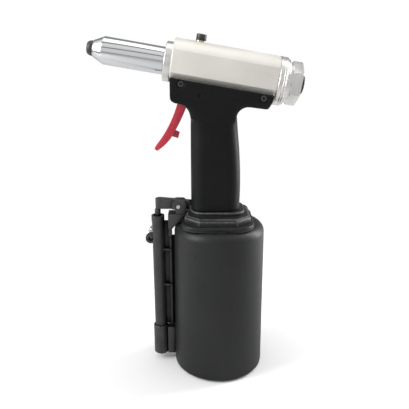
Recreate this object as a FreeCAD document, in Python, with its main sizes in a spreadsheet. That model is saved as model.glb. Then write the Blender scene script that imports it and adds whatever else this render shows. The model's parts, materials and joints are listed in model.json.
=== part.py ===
"""Pneumatic rivet gun (air-hydraulic blind riveter), modelled piece by piece.

Millimetres. The origin is the centre of the air cylinder's underside, +Z up along the cylinder, and the
nose points towards -X. The head's pieces are drawn about their own X axis and tilted nose-up together.
"""
import FreeCAD, Part
import math
import os
import re

import Sketcher
from FreeCAD import Vector

SIZES = [
    ("head_height", 265.3, "the head's axis above the base, on the cylinder's centre line"),
    ("head_tilt", 9.6, "nose-up tilt of the head, degrees"),
    ("gap", 0.05, "running clearance on a radius"),
    ("edge", 0.5, "small edge chamfer"),
    ("seam", 0.02, "clearance between fixed pieces"),
    # nosepiece, distances along the head's axis are from the cylinder's centre line
    ("tip", -107.0, "front of the nosepiece"),
    ("tip_radius", 4.3, ""),
    ("nosepiece_back", -102.4, "shoulder against the nose sleeve"),
    ("nosepiece_radius", 5.8, ""),
    ("nosepiece_dome", 5.0, "rounding of the nosepiece"),
    ("mandrel_bore", 1.6, "hole for the rivet's mandrel"),
    ("nose_thread_radius", 5.0, ""),
    ("nose_thread_back", -95.2, ""),
    ("tail_radius", 2.6, "tail that holds the jaws open"),
    ("tail_back", -88.9, ""),
    # nose sleeve
    ("cone_front_radius", 6.7, ""),
    ("cone_back", -93.7, ""),
    ("sleeve_radius", 10.8, "outside of the chrome barrel"),
    ("sleeve_bore_front", -93.2, ""),
    ("sleeve_thread_radius", 9.9, ""),
    ("sleeve_back", -33.0, ""),
    # front nut
    ("nut_front", -45.2, ""),
    ("nut_radius", 15.6, ""),
    ("spigot_radius", 14.5, "screwed into the head"),
    ("spigot_back", -27.0, ""),
    ("sleeve_stop", -32.8, ""),
    # jaw case, jaws, pusher
    ("case_front", -92.0, ""),
    ("case_mouth_radius", 2.9, ""),
    ("case_radius", 8.0, ""),
    ("case_cone_back", -77.9, ""),
    ("case_back", -52.0, ""),
    ("jaw_cone", 15, "half angle of the jaws' cone, degrees"),
    ("jaw_front", -88.5, ""),
    ("jaw_back", -78.5, ""),
    ("jaw_bore", 1.9, ""),
    ("jaw_clearance", 0.12, ""),
    ("jaw_angle", 104, "sector of one jaw, degrees"),
    ("jaw_count", 3, ""),
    ("pusher_front", -78.2, ""),
    ("pusher_back", -70.0, ""),
    ("pusher_radius", 6.4, ""),
    ("pusher_bore", 2.2, ""),
    ("jaw_spring_radius", 4.7, "mean radius"),
    ("jaw_spring_wire", 0.5, "wire radius"),
    ("jaw_spring_turns", 5, ""),
    ("lock_nut_radius", 7.6, ""),
    # head piston and its rod
    ("rod_front", -60.0, ""),
    ("rod_thread_radius", 5.5, ""),
    ("rod_shoulder", -50.0, ""),
    ("rod_radius", 7.0, ""),
    ("rod_bore", 2.5, "passage for spent mandrels"),
    ("piston_front", 4.0, ""),
    ("piston_back", 14.0, ""),
    ("head_bore", 13.0, "bore of the head's oil cylinder"),
    ("piston_groove_depth", 2.2, ""),
    ("piston_groove_front", 7.5, ""),
    ("piston_groove_back", 10.5, ""),
    ("spring_boss_radius", 8.8, ""),
    ("spring_boss_back", 17.5, ""),
    ("tailpipe_radius", 5.5, ""),
    ("tailpipe_back", 30.0, ""),
    ("guide_step", 11.0, ""),
    ("guide_radius", 3.3, "fixed pipe that guides spent mandrels"),
    ("guide_front", 26.2, ""),
    ("guide_bore", 2.6, ""),
    ("return_spring_radius", 10.9, "mean radius"),
    ("return_spring_wire", 0.9, "wire radius"),
    ("return_spring_turns", 5, ""),
    # head casting
    ("block_front", -39.3, ""),
    ("block_back", 45.0, ""),
    ("block_radius", 19.2, "round top of the head"),
    ("flat_half_width", 16.5, "side flats"),
    ("flat_bottom", -7.1, "lower edge of a side flat, from the axis"),
    ("facet_bottom", -11.3, "lower edge of the sloping facet, from the axis"),
    ("ridge_half_width", 12.3, "ridge inside the handle"),
    ("ridge_bottom", -16.8, ""),
    ("ridge_front", -35.0, ""),
    ("ridge_back", 45.0, ""),
    ("gland_bore", 8.0, ""),
    ("bore_front", -22.0, "front of the oil cylinder"),
    ("cap_thread_front", 40.0, ""),
    ("cap_thread_radius", 14.0, ""),
    ("pocket_front", -22.0, "room for the trigger's eye under the ridge"),
    ("pocket_back", -6.0, ""),
    ("pocket_half_width", 8.0, ""),
    ("pocket_top", -15.4, ""),
    ("rod_seal_back", -18.0, ""),
    # oil plug
    ("plug_place", -19.3, "along the head's axis"),
    ("plug_seat", 18.9, "spot face above the axis"),
    ("plug_seat_radius", 4.8, ""),
    ("plug_head_radius", 4.0, ""),
    ("plug_head_height", 5.0, ""),
    ("plug_thread_radius", 2.45, ""),
    ("plug_length", 5.0, ""),
    ("plug_key", 4.0, "hex socket across flats"),
    ("plug_key_depth", 2.6, ""),
    ("washer_radius", 3.9, ""),
    ("washer_height", 1.0, ""),
    # rear cap, end cap, bush
    ("ring_back", 51.6, ""),
    ("step_back", 53.4, ""),
    ("step_radius", 18.0, ""),
    ("groove_radius", 15.9, ""),
    ("end_cap_front", 56.0, ""),
    ("end_cap_back", 64.0, ""),
    ("end_cap_radius", 17.3, ""),
    ("end_cap_width", 30.0, "hexagon across flats"),
    ("ring_groove_front", 48.0, "fine grooves turned in the rear cap"),
    ("ring_groove_pitch", 1.6, ""),
    ("ring_groove_depth", 0.45, ""),
    ("ring_groove_count", 2, ""),
    ("end_thread_front", 49.5, ""),
    ("end_thread_radius", 12.0, ""),
    ("cap_bore", 9.0, ""),
    ("bush_radius", 7.5, ""),
    ("bush_front", 60.0, ""),
    ("bush_back", 67.4, ""),
    ("bush_bore", 3.2, ""),
    # oil tube in the handle
    ("tube_radius", 9.0, ""),
    ("tube_bore", 6.5, ""),
    ("tube_top", 256.0, "where the tube's bore meets the oil cylinder"),
    ("tube_bottom", 118.0, ""),
    ("gland_seat", 140.0, ""),
    ("gland_radius", 7.5, ""),
    # handle shells
    ("shell_half_width", 19.0, ""),
    ("saddle_low_half_width", 17.2, "where the saddle meets the grip"),
    ("saddle_wide_height", 249.0, ""),
    ("saddle_narrow_height", 233.0, ""),
    ("saddle_low", 225.0, "lower end of the saddle, inside the grip"),
    ("shell_front", -40.0, ""),
    ("shell_back", 41.7, ""),
    ("shell_chin_height", 244.6, ""),
    ("shell_chin_round", 6.0, ""),
    ("chin_end", -34.3, ""),
    ("chin_end_height", 240.7, ""),
    ("brow", -30.0, "underside in front of the grip"),
    ("brow_height", 239.6, ""),
    ("front_web_height", 228.0, ""),
    ("front_web_round", 12.0, ""),
    ("heel", 40.2, "rear end of the saddle"),
    ("heel_height", 240.4, ""),
    ("heel_tip", 37.7, ""),
    ("heel_tip_height", 235.7, ""),
    ("underside", 22.0, "underside behind the grip"),
    ("underside_height", 237.8, ""),
    ("rear_web_height", 226.0, ""),
    ("rear_web_round", 9.5, ""),
    ("grip_foot", 151.2, "height of the grip's lower end"),
    ("grip_low", 165.0, ""),
    ("grip_middle", 190.0, ""),
    ("grip_upper", 211.0, ""),
    ("grip_top", 240.0, ""),
    ("grip_front", -24.4, ""),
    ("foot_back", 16.9, ""),
    ("low_back", 17.4, ""),
    ("middle_back", 16.9, ""),
    ("upper_back", 15.3, ""),
    ("top_back", 12.8, ""),
    ("foot_half_width", 15.8, ""),
    ("upper_half_width", 16.4, ""),
    ("grip_round", 11.5, "corner rounding of the grip's section"),
    ("cavity_front", -21.8, ""),
    ("cavity_back", 10.8, ""),
    ("cavity_half_width", 13.0, ""),
    ("cavity_round", 9.0, ""),
    ("cavity_top", 244.0, ""),
    ("trigger_slot_half_width", 7.4, ""),
    ("trigger_slot_front", -37.0, ""),
    ("trigger_slot_back", -9.0, ""),
    ("trigger_slot_low", 226.5, ""),
    ("trigger_slot_top", 250.9, ""),
    ("rocker_slot_half_width", 4.4, ""),
    ("rocker_slot_top", 160.5, ""),
    # shell screws
    ("screw_front", -29.4, "along the head's axis"),
    ("screw_back", 36.2, ""),
    ("screw_drop", -14.6, "below the head's axis"),
    ("screw_radius", 1.45, ""),
    ("screw_head_radius", 2.4, ""),
    ("screw_head_height", 1.8, ""),
    ("screw_tip", 8.6, "from the middle plane"),
    ("screw_seat", 16.6, "seat of the head, from the middle plane"),
    ("screw_recess_radius", 2.9, ""),
    ("screw_key", 2.2, ""),
    # trigger, its pin and the pull rod
    ("pivot", -16.5, ""),
    ("pivot_height", 247.4, ""),
    ("trigger_pin_radius", 1.2, ""),
    ("trigger_pin_half_length", 17.6, ""),
    ("eye_radius", 3.0, ""),
    ("trigger_half_width", 7.0, ""),
    ("arm_back", -9.9, ""),
    ("arm_low", 244.6, ""),
    ("arm_slot_front", -14.4, "slot in the arm for the pull rod"),
    ("arm_root", -14.0, ""),
    ("arm_root_low", 243.6, ""),
    ("lever_top", -27.9, "rear edge where the lever leaves the handle"),
    ("lever_top_height", 236.4, ""),
    ("lever_bend", -40.6, "rear edge at the bend"),
    ("lever_bend_height", 212.0, ""),
    ("lever_end", -51.4, ""),
    ("lever_end_height", 202.0, ""),
    ("lever_tip", -54.0, ""),
    ("lever_tip_height", 204.4, ""),
    ("lever_brow", -34.6, ""),
    ("lever_brow_height", 240.6, ""),
    ("lever_rear_curve", 150.0, ""),
    ("lever_front_curve", 105.0, ""),
    ("lever_toe_curve", 45.0, ""),
    ("lever_tip_round", 2.0, ""),
    ("tab_high", -36.6, "stop tab's root, upper end"),
    ("tab_high_height", 217.4, ""),
    ("tab_corner", -33.6, ""),
    ("tab_corner_height", 215.9, ""),
    ("tab_low", -34.8, ""),
    ("tab_low_height", 211.6, ""),
    ("tab_root", -41.5, "inside the lever"),
    ("tab_root_height", 213.6, ""),
    ("tab_half_width", 3.0, ""),
    ("hook_place", -11.5, "upper crossbar of the pull rod"),
    ("crossbar_radius", 1.0, ""),
    ("crossbar_half_length", 4.5, ""),
    ("lift_gap", 0.12, "play between a lever and what it pushes"),
    ("pull_rod_radius", 1.2, ""),
    ("rod_slot", 1.6, "half width of the slots the pull rod passes"),
    # rocker, its pin and bracket
    ("rocker_pivot", -35.5, ""),
    ("rocker_pivot_height", 152.7, ""),
    ("rocker_pin_radius", 1.7, ""),
    ("rocker_pin_half_length", 6.3, ""),
    ("rocker_half_width", 3.6, ""),
    ("rocker_front", -52.1, "centre of the rocker's rounded front"),
    ("rocker_back", -17.6, ""),
    ("rocker_crown", 159.3, "top at the front"),
    ("rocker_crown_back", 156.1, "top at the back"),
    ("rocker_belly", 150.1, ""),
    ("rocker_step", -26.0, ""),
    ("rocker_finger_low", 153.4, ""),
    ("rod_foot", -20.0, "lower crossbar of the pull rod"),
    ("bracket_front", -44.5, ""),
    ("bracket_lip", -40.9, ""),
    ("bracket_low", 133.0, ""),
    ("bracket_shelf", -36.0, ""),
    ("bracket_shelf_height", 138.4, ""),
    ("bracket_neck", -33.2, ""),
    ("bracket_neck_height", 142.4, ""),
    ("bracket_back", -29.8, ""),
    ("bracket_top", 146.0, ""),
    ("bracket_half_width", 6.8, ""),
    ("bracket_leg_back", -41.8, "leg over the top of the valve's strip"),
    ("bracket_leg_low", 124.6, ""),
    ("bracket_leg_half_width", 3.0, ""),
    ("ear_inside", 3.7, "the two ears either side of the rocker"),
    ("ear_outside", 5.9, ""),
    ("ear_neck_front", -37.8, ""),
    ("ear_neck_back", -30.0, ""),
    ("ear_front", -41.0, ""),
    ("ear_back", -28.8, ""),
    ("ear_low", 150.5, ""),
    ("ear_shoulder", 154.5, ""),
    ("ear_top", 158.0, ""),
    ("ear_round", 3.5, ""),
    # valve
    ("valve_place", -53.9, "the valve's vertical axis"),
    ("housing_radius", 5.4, ""),
    ("housing_rim_radius", 5.7, "rim at the valve tube's top"),
    ("housing_rim_low", 138.0, ""),
    ("housing_bore", 3.4, ""),
    ("housing_top", 143.5, ""),
    ("housing_bottom", 21.0, ""),
    ("bush_seat", 136.0, ""),
    ("bush_seat_radius", 4.1, ""),
    ("valve_bush_top", 141.2, ""),
    ("web_upper", 112.0, ""),
    ("web_lower", 77.5, ""),
    ("web_half_height", 0.75, ""),
    ("web_half_width", 3.2, ""),
    ("strip_front", -44.0, ""),
    ("strip_back", -42.3, ""),
    ("strip_half_width", 1.6, ""),
    ("strip_top", 124.4, ""),
    ("plate_near", 1.0, "thin plate behind the ribs, up against the cylinder"),
    ("plate_far", 2.2, ""),
    ("stem_radius", 1.4, ""),
    ("stem_bottom", 22.0, ""),
    ("button_radius", 2.6, ""),
    ("button_low", 143.2, ""),
    ("spool_low", 24.0, ""),
    ("spool_high", 46.0, ""),
    ("land_height", 7.0, ""),
    ("land_groove", 2.2, ""),
    ("land_groove_radius", 2.3, ""),
    ("valve_spring_radius", 2.3, "mean radius"),
    ("valve_spring_wire", 0.4, "wire radius"),
    ("valve_spring_turns", 5, ""),
    ("manifold_radius", 6.8, ""),
    ("manifold_low", 6.5, ""),
    ("manifold_high", 35.6, ""),
    ("column_front", -47.2, ""),
    ("column_back", -38.0, ""),
    ("column_half_width", 4.4, ""),
    ("column_high", 34.0, ""),
    ("neck_half_width", 2.4, ""),
    ("valve_plug_radius", 4.6, ""),
    ("valve_plug_height", 4.0, ""),
    ("air_passage", 10.6, "height of the passage under the air piston"),
    ("air_passage_radius", 1.8, ""),
    # air inlet
    ("inlet_place", -61.0, ""),
    ("inlet_height", 121.0, ""),
    ("inlet_boss_radius", 4.6, ""),
    ("inlet_boss_front", 0.5, "along Y"),
    ("inlet_boss_back", 5.6, ""),
    ("inlet_collar_radius", 5.3, ""),
    ("inlet_collar_back", 9.6, ""),
    ("inlet_neck_radius", 3.3, ""),
    ("inlet_rib_front", 12.0, ""),
    ("inlet_rib_back", 14.4, ""),
    ("inlet_rib_radius", 4.4, ""),
    ("inlet_plug_front", 16.6, ""),
    ("inlet_plug_radius", 3.9, ""),
    ("inlet_plug_back", 26.5, ""),
    ("inlet_bore", 2.2, ""),
    # foot of the handle
    ("seat_high", 151.2, ""),
    ("seat_low", 148.0, ""),
    ("seat_front", -24.8, ""),
    ("seat_back", 21.3, ""),
    ("seat_half_width", 18.8, ""),
    ("seat_round", 12.0, ""),
    ("flange_low", 142.2, ""),
    ("flange_centre", -1.7, ""),
    ("flange_half", 28.0, ""),
    ("flange_corner", 12.0, "corner chamfer"),
    ("flange_edge", 2.0, ""),
    ("collar_low", 138.0, ""),
    ("collar_half", 30.8, ""),
    ("collar_round", 15.0, ""),
    ("collar_edge", 1.4, ""),
    # air cylinder and base
    ("cylinder_radius", 40.6, "at the base"),
    ("cylinder_top_radius", 39.5, "at the shoulder"),
    ("cylinder_bore", 36.5, ""),
    ("cylinder_bottom", 1.0, ""),
    ("cylinder_roof", 128.5, "underside of the cylinder's top"),
    ("shoulder_round", 8.0, ""),
    ("bottom_round", 2.2, ""),
    ("base_top", 6.8, ""),
    ("base_recess_radius", 30.0, ""),
    ("base_recess_height", 1.2, ""),
    ("base_boss_radius", 8.0, "flat pad left in the middle of the underside"),
    ("base_seal_low", 3.0, ""),
    ("base_seal_high", 5.2, ""),
    ("base_seal_depth", 1.8, ""),
    ("key_hole_radius", 2.0, "spanner holes in the base cap"),
    ("key_hole_place", 22.0, ""),
    ("key_hole_depth", 3.5, ""),
    # air piston, ram, gland, lock nut
    ("air_piston_low", 14.0, ""),
    ("air_piston_high", 26.0, ""),
    ("air_seal_low", 18.0, ""),
    ("air_seal_high", 22.0, ""),
    ("air_seal_depth", 3.0, ""),
    ("ram_radius", 5.0, ""),
    ("ram_top", 136.0, ""),
    ("ram_thread_radius", 4.0, ""),
    ("ram_bottom", 8.2, ""),
    ("piston_nut_width", 13.0, "across flats"),
    ("piston_nut_low", 8.6, ""),
    ("gland_low", 118.4, ""),
    ("gland_high", 136.5, ""),
    ("lock_nut_low", 120.0, ""),
    ("cylinder_nut_width", 30.0, "across flats"),
]

doc = FreeCAD.newDocument("RivetGun")
sheet = doc.addObject("Spreadsheet::Sheet", "Sizes")
for row, (alias, number, note) in enumerate(SIZES, start=1):
    sheet.set(f"A{row}", note or alias.replace("_", " "))
    sheet.set(f"B{row}", str(number))
    sheet.setAlias(f"B{row}", alias)
doc.recompute()

ALIASES = re.compile(r"\b(" + "|".join(alias for alias, _, _ in SIZES) + r")\b")
WORLD = "placement(vector(0; 0; 0); rotation(vector(0; 0; 1); 0))"
HEAD = "placement(vector(0; 0; head_height); rotation(vector(0; 1; 0); head_tilt))"
ALONG = {
    "X": "rotation(vector(0; 1; 0); 90)",
    "Y": "rotation(vector(1; 0; 0); -90)",
    "Z": "rotation(vector(0; 0; 1); 0)",
}
NODES = {}


# ---- expressions, outlines and features ----

def cells(text):
    """An expression with its size names turned into the sheet's cells."""
    return ALIASES.sub(r"Sizes.\1", str(text))


def value(text):
    """The number that an expression stands for now."""
    return float(sheet.evalExpression(cells(text)))


def bind(thing, **expressions):
    """Drive properties of an object from expressions of the sheet's sizes."""
    for name, text in expressions.items():
        thing.setExpression(name, cells(text))


def node(label, thing):
    """Keep an object as one of the tool's pieces."""
    thing.Label = label
    NODES[label] = thing
    return thing


def new_body(label, frame):
    body = doc.addObject("PartDesign::Body", label)
    bind(body, Placement=frame)
    return body


def origin_plane(body, role):
    return next(plane for plane in body.Origin.OriginFeatures if plane.Role == role)


def new_sketch(body, plane, offset="0"):
    sketch = body.newObject("Sketcher::SketchObject", body.Name + "_outline")
    sketch.AttachmentSupport = (origin_plane(body, plane), [""])
    sketch.MapMode = "FlatFace"
    sketch.setExpression("AttachmentOffset.Base.z", cells(offset))
    return sketch


def arc_between(first, second, radius):
    """The short arc from first to second; a positive radius turns left and a negative one right."""
    chord = second - first
    middle = (first + second) / 2
    reach = math.sqrt(max(radius ** 2 - (chord.Length / 2) ** 2, 0))
    side = Vector(-chord.y, chord.x, 0).normalize() * math.copysign(reach, radius)
    centre = middle + side
    angles = [math.atan2(p.y - centre.y, p.x - centre.x) for p in (first, second)]
    if radius < 0:
        angles.reverse()
    return Part.ArcOfCircle(Part.Circle(centre, Vector(0, 0, 1), abs(radius)), *angles)


def size_arc(sketch, arc, point, following, chord):
    """Fix an arc's radius, or its centre's place where it is a half circle."""
    if chord.Length < 1.999 * abs(value(point[2])):
        rule = sketch.addConstraint(Sketcher.Constraint("Radius", arc, abs(value(point[2]))))
        sketch.setExpression(f"Constraints[{rule}]", cells(f"abs({point[2]})"))
        return
    kind, place = ("DistanceY", 1) if abs(chord.x) > abs(chord.y) else ("DistanceX", 0)
    middle = f"(({point[place]}) + ({following[place]})) / 2"
    rule = sketch.addConstraint(Sketcher.Constraint(kind, -1, 1, arc, 3, value(middle)))
    sketch.setExpression(f"Constraints[{rule}]", cells(middle))


def closed_outline(sketch, points):
    """A closed outline: each point is (x, y), or (x, y, radius) where an arc leads to the next point."""
    places = [Vector(value(point[0]), value(point[1]), 0) for point in points]
    ends = []
    for index, point in enumerate(points):
        first = places[index]
        second = places[(index + 1) % len(points)]
        if len(point) == 2:
            line = sketch.addGeometry(Part.LineSegment(first, second), False)
            ends.append((line, 1, 2))
            continue
        radius = value(point[2])
        arc = sketch.addGeometry(arc_between(first, second, radius), False)
        ends.append((arc, 1, 2) if radius > 0 else (arc, 2, 1))
    for index, point in enumerate(points):
        line, start, _ = ends[index]
        previous, _, finish = ends[index - 1]
        sketch.addConstraint(Sketcher.Constraint("Coincident", previous, finish, line, start))
        fixed = (("DistanceX", point[0], places[index].x), ("DistanceY", point[1], places[index].y))
        for kind, text, now in fixed:
            rule = sketch.addConstraint(Sketcher.Constraint(kind, -1, 1, line, start, now))
            sketch.setExpression(f"Constraints[{rule}]", cells(text))
        if len(point) == 3:
            following = points[(index + 1) % len(points)]
            size_arc(sketch, line, point, following, places[(index + 1) % len(points)] - places[index])


def circle(sketch, x, y, radius):
    round_line = sketch.addGeometry(
        Part.Circle(Vector(value(x), value(y), 0), Vector(0, 0, 1), value(radius)), False
    )
    fixed = (("DistanceX", x), ("DistanceY", y))
    for kind, text in fixed:
        rule = sketch.addConstraint(Sketcher.Constraint(kind, -1, 1, round_line, 3, value(text)))
        sketch.setExpression(f"Constraints[{rule}]", cells(text))
    rule = sketch.addConstraint(Sketcher.Constraint("Radius", round_line, value(radius)))
    sketch.setExpression(f"Constraints[{rule}]", cells(radius))


def turned(label, points, frame=WORLD, about="H_Axis", angle="360"):
    """A round piece: half-section points (along X, radius), or (radius, along Z) about V_Axis."""
    body = new_body(label, frame)
    sketch = new_sketch(body, "XZ_Plane")
    closed_outline(sketch, points)
    turning = body.newObject("PartDesign::Revolution", label + "_turning")
    turning.Profile = sketch
    turning.ReferenceAxis = (sketch, [about])
    turning.Midplane = True
    bind(turning, Angle=angle)
    return body


def prism(label, plane, points, low, high, frame=WORLD):
    """An outline on one of the body's planes, padded from low to high along the plane's normal."""
    body = new_body(label, frame)
    sketch = new_sketch(body, plane, low)
    closed_outline(sketch, points)
    pad = body.newObject("PartDesign::Pad", label + "_pad")
    pad.Profile = sketch
    bind(pad, Length=f"({high}) - ({low})")
    return body


def coil(label, place, radius, wire, length, turns, frame=WORLD, about="H_Axis"):
    """A wire spring: its wire's centre starts at place along the axis."""
    body = new_body(label, frame)
    sketch = new_sketch(body, "XZ_Plane")
    if about == "H_Axis":
        circle(sketch, place, radius, wire)
    else:
        circle(sketch, radius, place, wire)
    winding = body.newObject("PartDesign::AdditiveHelix", label + "_winding")
    winding.Profile = sketch
    winding.ReferenceAxis = (sketch, [about])
    winding.Mode = "height-turns-angle"
    bind(winding, Height=length, Turns=turns)
    return body


def box(label, low, high, frame=WORLD):
    solid = doc.addObject("Part::Box", label)
    corner = f"placement(vector({low[0]}; {low[1]}; {low[2]}); rotation(vector(0; 0; 1); 0))"
    sizes = [f"({top}) - ({bottom})" for bottom, top in zip(low, high)]
    bind(solid, Length=sizes[0], Width=sizes[1], Height=sizes[2], Placement=f"{frame} * {corner}")
    return solid


def rod(label, start, radius, length, along="Z", frame=WORLD):
    solid = doc.addObject("Part::Cylinder", label)
    base = f"placement(vector({start[0]}; {start[1]}; {start[2]}); {ALONG[along]})"
    bind(solid, Radius=radius, Height=length, Placement=f"{frame} * {base}")
    return solid


def hexagon(label, start, across_flats, length, along="Z", frame=WORLD):
    solid = doc.addObject("Part::Prism", label)
    solid.Polygon = 6
    base = f"placement(vector({start[0]}; {start[1]}; {start[2]}); {ALONG[along]})"
    circumradius = f"{across_flats} / (2 * cos(30))"
    bind(solid, Circumradius=circumradius, Height=length, Placement=f"{frame} * {base}")
    return solid


def fuse(label, *solids):
    joined = doc.addObject("Part::MultiFuse", label)
    joined.Shapes = list(solids)
    joined.Refine = True
    return joined


def overlap(label, *solids):
    shared = doc.addObject("Part::MultiCommon", label)
    shared.Shapes = list(solids)
    shared.Refine = True
    return shared


def cut(label, base, *tools):
    carved = doc.addObject("Part::Cut", label)
    carved.Base = base
    carved.Tool = tools[0] if len(tools) == 1 else fuse(label + "_tools", *tools)
    carved.Refine = True
    return carved


def round_edges(body, kind, size, wanted):
    """Fillet or chamfer the edges of a body's last feature that wanted() picks."""
    doc.recompute()
    base = body.Tip
    names = [f"Edge{index}" for index, edge in enumerate(base.Shape.Edges, start=1) if wanted(edge)]
    feature = body.newObject("PartDesign::" + kind, body.Name + "_" + kind.lower())
    feature.Base = (base, names)
    bind(feature, **{"Radius" if kind == "Fillet" else "Size": size})
    return feature


def edges_at(axis, *places):
    """Picks edges that lie in a plane square to an axis, in the body's own frame."""
    index = "XYZ".index(axis)
    levels = [value(place) for place in places]

    def wanted(edge):
        box_low, box_high = (
            (edge.BoundBox.XMin, edge.BoundBox.YMin, edge.BoundBox.ZMin)[index],
            (edge.BoundBox.XMax, edge.BoundBox.YMax, edge.BoundBox.ZMax)[index],
        )
        return any(abs(box_low - level) < 1e-3 and abs(box_high - level) < 1e-3 for level in levels)

    return wanted


def rounded_rectangle(left, right, low, high, corner):
    """Outline points of a rectangle with round corners, counter-clockwise."""
    return [
        (f"{left} + {corner}", low),
        (f"{right} - {corner}", low, corner),
        (right, f"{low} + {corner}"),
        (right, f"{high} - {corner}", corner),
        (f"{right} - {corner}", high),
        (f"{left} + {corner}", high, corner),
        (left, f"{high} - {corner}"),
        (left, f"{low} + {corner}", corner),
    ]


# ---- nose: nosepiece, sleeve, front nut ----

def build_nose():
    node("nosepiece", turned("nosepiece", [
        ("tip", "mandrel_bore"),
        ("tip", "tip_radius", "-nosepiece_dome"),
        ("nosepiece_back", "nosepiece_radius"),
        ("nosepiece_back", "nose_thread_radius"),
        ("nose_thread_back", "nose_thread_radius"),
        ("nose_thread_back", "tail_radius"),
        ("tail_back", "tail_radius"),
        ("tail_back", "mandrel_bore"),
    ], HEAD))
    node("nose_sleeve", turned("nose_sleeve", [
        ("nosepiece_back", "nose_thread_radius + seam"),
        ("nosepiece_back", "cone_front_radius - edge"),
        ("nosepiece_back + edge", "cone_front_radius"),
        ("cone_back", "sleeve_radius"),
        ("nut_front", "sleeve_radius"),
        ("nut_front", "sleeve_thread_radius"),
        ("sleeve_back", "sleeve_thread_radius"),
        ("sleeve_back", "case_radius + gap"),
        ("sleeve_bore_front", "case_radius + gap"),
        ("sleeve_bore_front", "nose_thread_radius + seam"),
    ], HEAD))
    node("front_nut", turned("front_nut", [
        ("nut_front + seam", "sleeve_thread_radius + seam"),
        ("nut_front + seam", "nut_radius - edge"),
        ("nut_front + edge", "nut_radius"),
        ("block_front - edge", "nut_radius"),
        ("block_front - seam", "nut_radius - edge"),
        ("block_front - seam", "spigot_radius"),
        ("spigot_back", "spigot_radius"),
        ("spigot_back", "rod_radius + gap"),
        ("sleeve_stop", "rod_radius + gap"),
        ("sleeve_stop", "sleeve_thread_radius + seam"),
    ], HEAD))


# ---- jaws and their case ----

CASE_BORE = "(case_mouth_radius + (case_cone_back - case_front) * tan(jaw_cone))"


def jaw_outside(place):
    """Radius of the jaws' outer cone at a place along the axis."""
    return f"(case_mouth_radius + ({place} - case_front) * tan(jaw_cone) - jaw_clearance)"


def build_jaws():
    node("jaw_case", turned("jaw_case", [
        ("case_front", "case_mouth_radius"),
        ("case_front", "case_radius - 2 * edge"),
        ("case_front + 2 * edge", "case_radius"),
        ("case_back", "case_radius"),
        ("case_back", "rod_thread_radius + seam"),
        ("rod_front", "rod_thread_radius + seam"),
        ("rod_front", CASE_BORE),
        ("case_cone_back", CASE_BORE),
    ], HEAD))
    node("jaw_case_nut", turned("jaw_case_nut", [
        ("case_back + seam", "rod_thread_radius + seam"),
        ("case_back + seam", "lock_nut_radius"),
        ("rod_shoulder - seam", "lock_nut_radius"),
        ("rod_shoulder - seam", "rod_thread_radius + seam"),
    ], HEAD))
    for number in range(int(value("jaw_count"))):
        share = f"rotation(vector(1; 0; 0); {number} * 360 / jaw_count)"
        frame = f"{HEAD} * placement(vector(0; 0; 0); {share})"
        label = f"jaw_{number + 1}"
        node(label, turned(label, [
            ("jaw_front", "jaw_bore"),
            ("jaw_front", jaw_outside("jaw_front")),
            ("jaw_back", jaw_outside("jaw_back")),
            ("jaw_back", "jaw_bore"),
        ], frame, angle="jaw_angle"))
    node("jaw_pusher", turned("jaw_pusher", [
        ("pusher_front", "pusher_bore"),
        ("pusher_front", "pusher_radius - 2 * edge"),
        ("pusher_front + 2 * edge", "pusher_radius"),
        ("pusher_back", "pusher_radius"),
        ("pusher_back", "pusher_bore"),
    ], HEAD))
    room = "(rod_front - pusher_back)"
    node("jaw_spring", coil(
        "jaw_spring",
        "pusher_back + jaw_spring_wire + seam",
        "jaw_spring_radius",
        "jaw_spring_wire",
        f"{room} - 2 * jaw_spring_wire - 2 * seam",
        "jaw_spring_turns",
        HEAD,
    ))


# ---- head: piston, seals, return spring, casting, oil plug ----

def build_head_piston():
    piston = "(head_bore - gap)"
    floor = "(head_bore - piston_groove_depth)"
    node("head_piston", turned("head_piston", [
        ("rod_front + seam", "rod_bore"),
        ("rod_front + seam", "rod_thread_radius"),
        ("rod_shoulder", "rod_thread_radius"),
        ("rod_shoulder", "rod_radius"),
        ("piston_front", "rod_radius"),
        ("piston_front", piston),
        ("piston_groove_front", piston),
        ("piston_groove_front", floor),
        ("piston_groove_back", floor),
        ("piston_groove_back", piston),
        ("piston_back", piston),
        ("piston_back", "spring_boss_radius"),
        ("spring_boss_back", "spring_boss_radius"),
        ("spring_boss_back", "tailpipe_radius"),
        ("tailpipe_back", "tailpipe_radius"),
        ("tailpipe_back", "guide_radius + gap"),
        ("guide_step", "guide_radius + gap"),
        ("guide_step", "rod_bore"),
    ], HEAD))
    node("head_piston_seal", turned("head_piston_seal", [
        ("piston_groove_front + gap", "head_bore - piston_groove_depth + seam"),
        ("piston_groove_front + gap", piston),
        ("piston_groove_back - gap", piston),
        ("piston_groove_back - gap", "head_bore - piston_groove_depth + seam"),
    ], HEAD))
    node("return_spring", coil(
        "return_spring",
        "piston_back + return_spring_wire + gap",
        "return_spring_radius",
        "return_spring_wire",
        "cap_thread_front - piston_back - 2 * return_spring_wire - 2 * gap",
        "return_spring_turns",
        HEAD,
    ))
    node("rod_seal", turned("rod_seal", [
        ("bore_front + seam", "rod_radius + gap"),
        ("bore_front + seam", "head_bore - seam"),
        ("rod_seal_back", "head_bore - seam"),
        ("rod_seal_back", "rod_radius + gap"),
    ], HEAD))


def head_section():
    """Round top, side flats and the inward sloping facets, seen along the axis."""
    shoulder = "sqrt(block_radius ^ 2 - flat_half_width ^ 2)"
    return [
        ("-ridge_half_width", "facet_bottom"),
        ("ridge_half_width", "facet_bottom"),
        ("flat_half_width", "flat_bottom"),
        ("flat_half_width", shoulder, "block_radius"),
        ("-flat_half_width", shoulder),
        ("-flat_half_width", "flat_bottom"),
    ]


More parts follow.
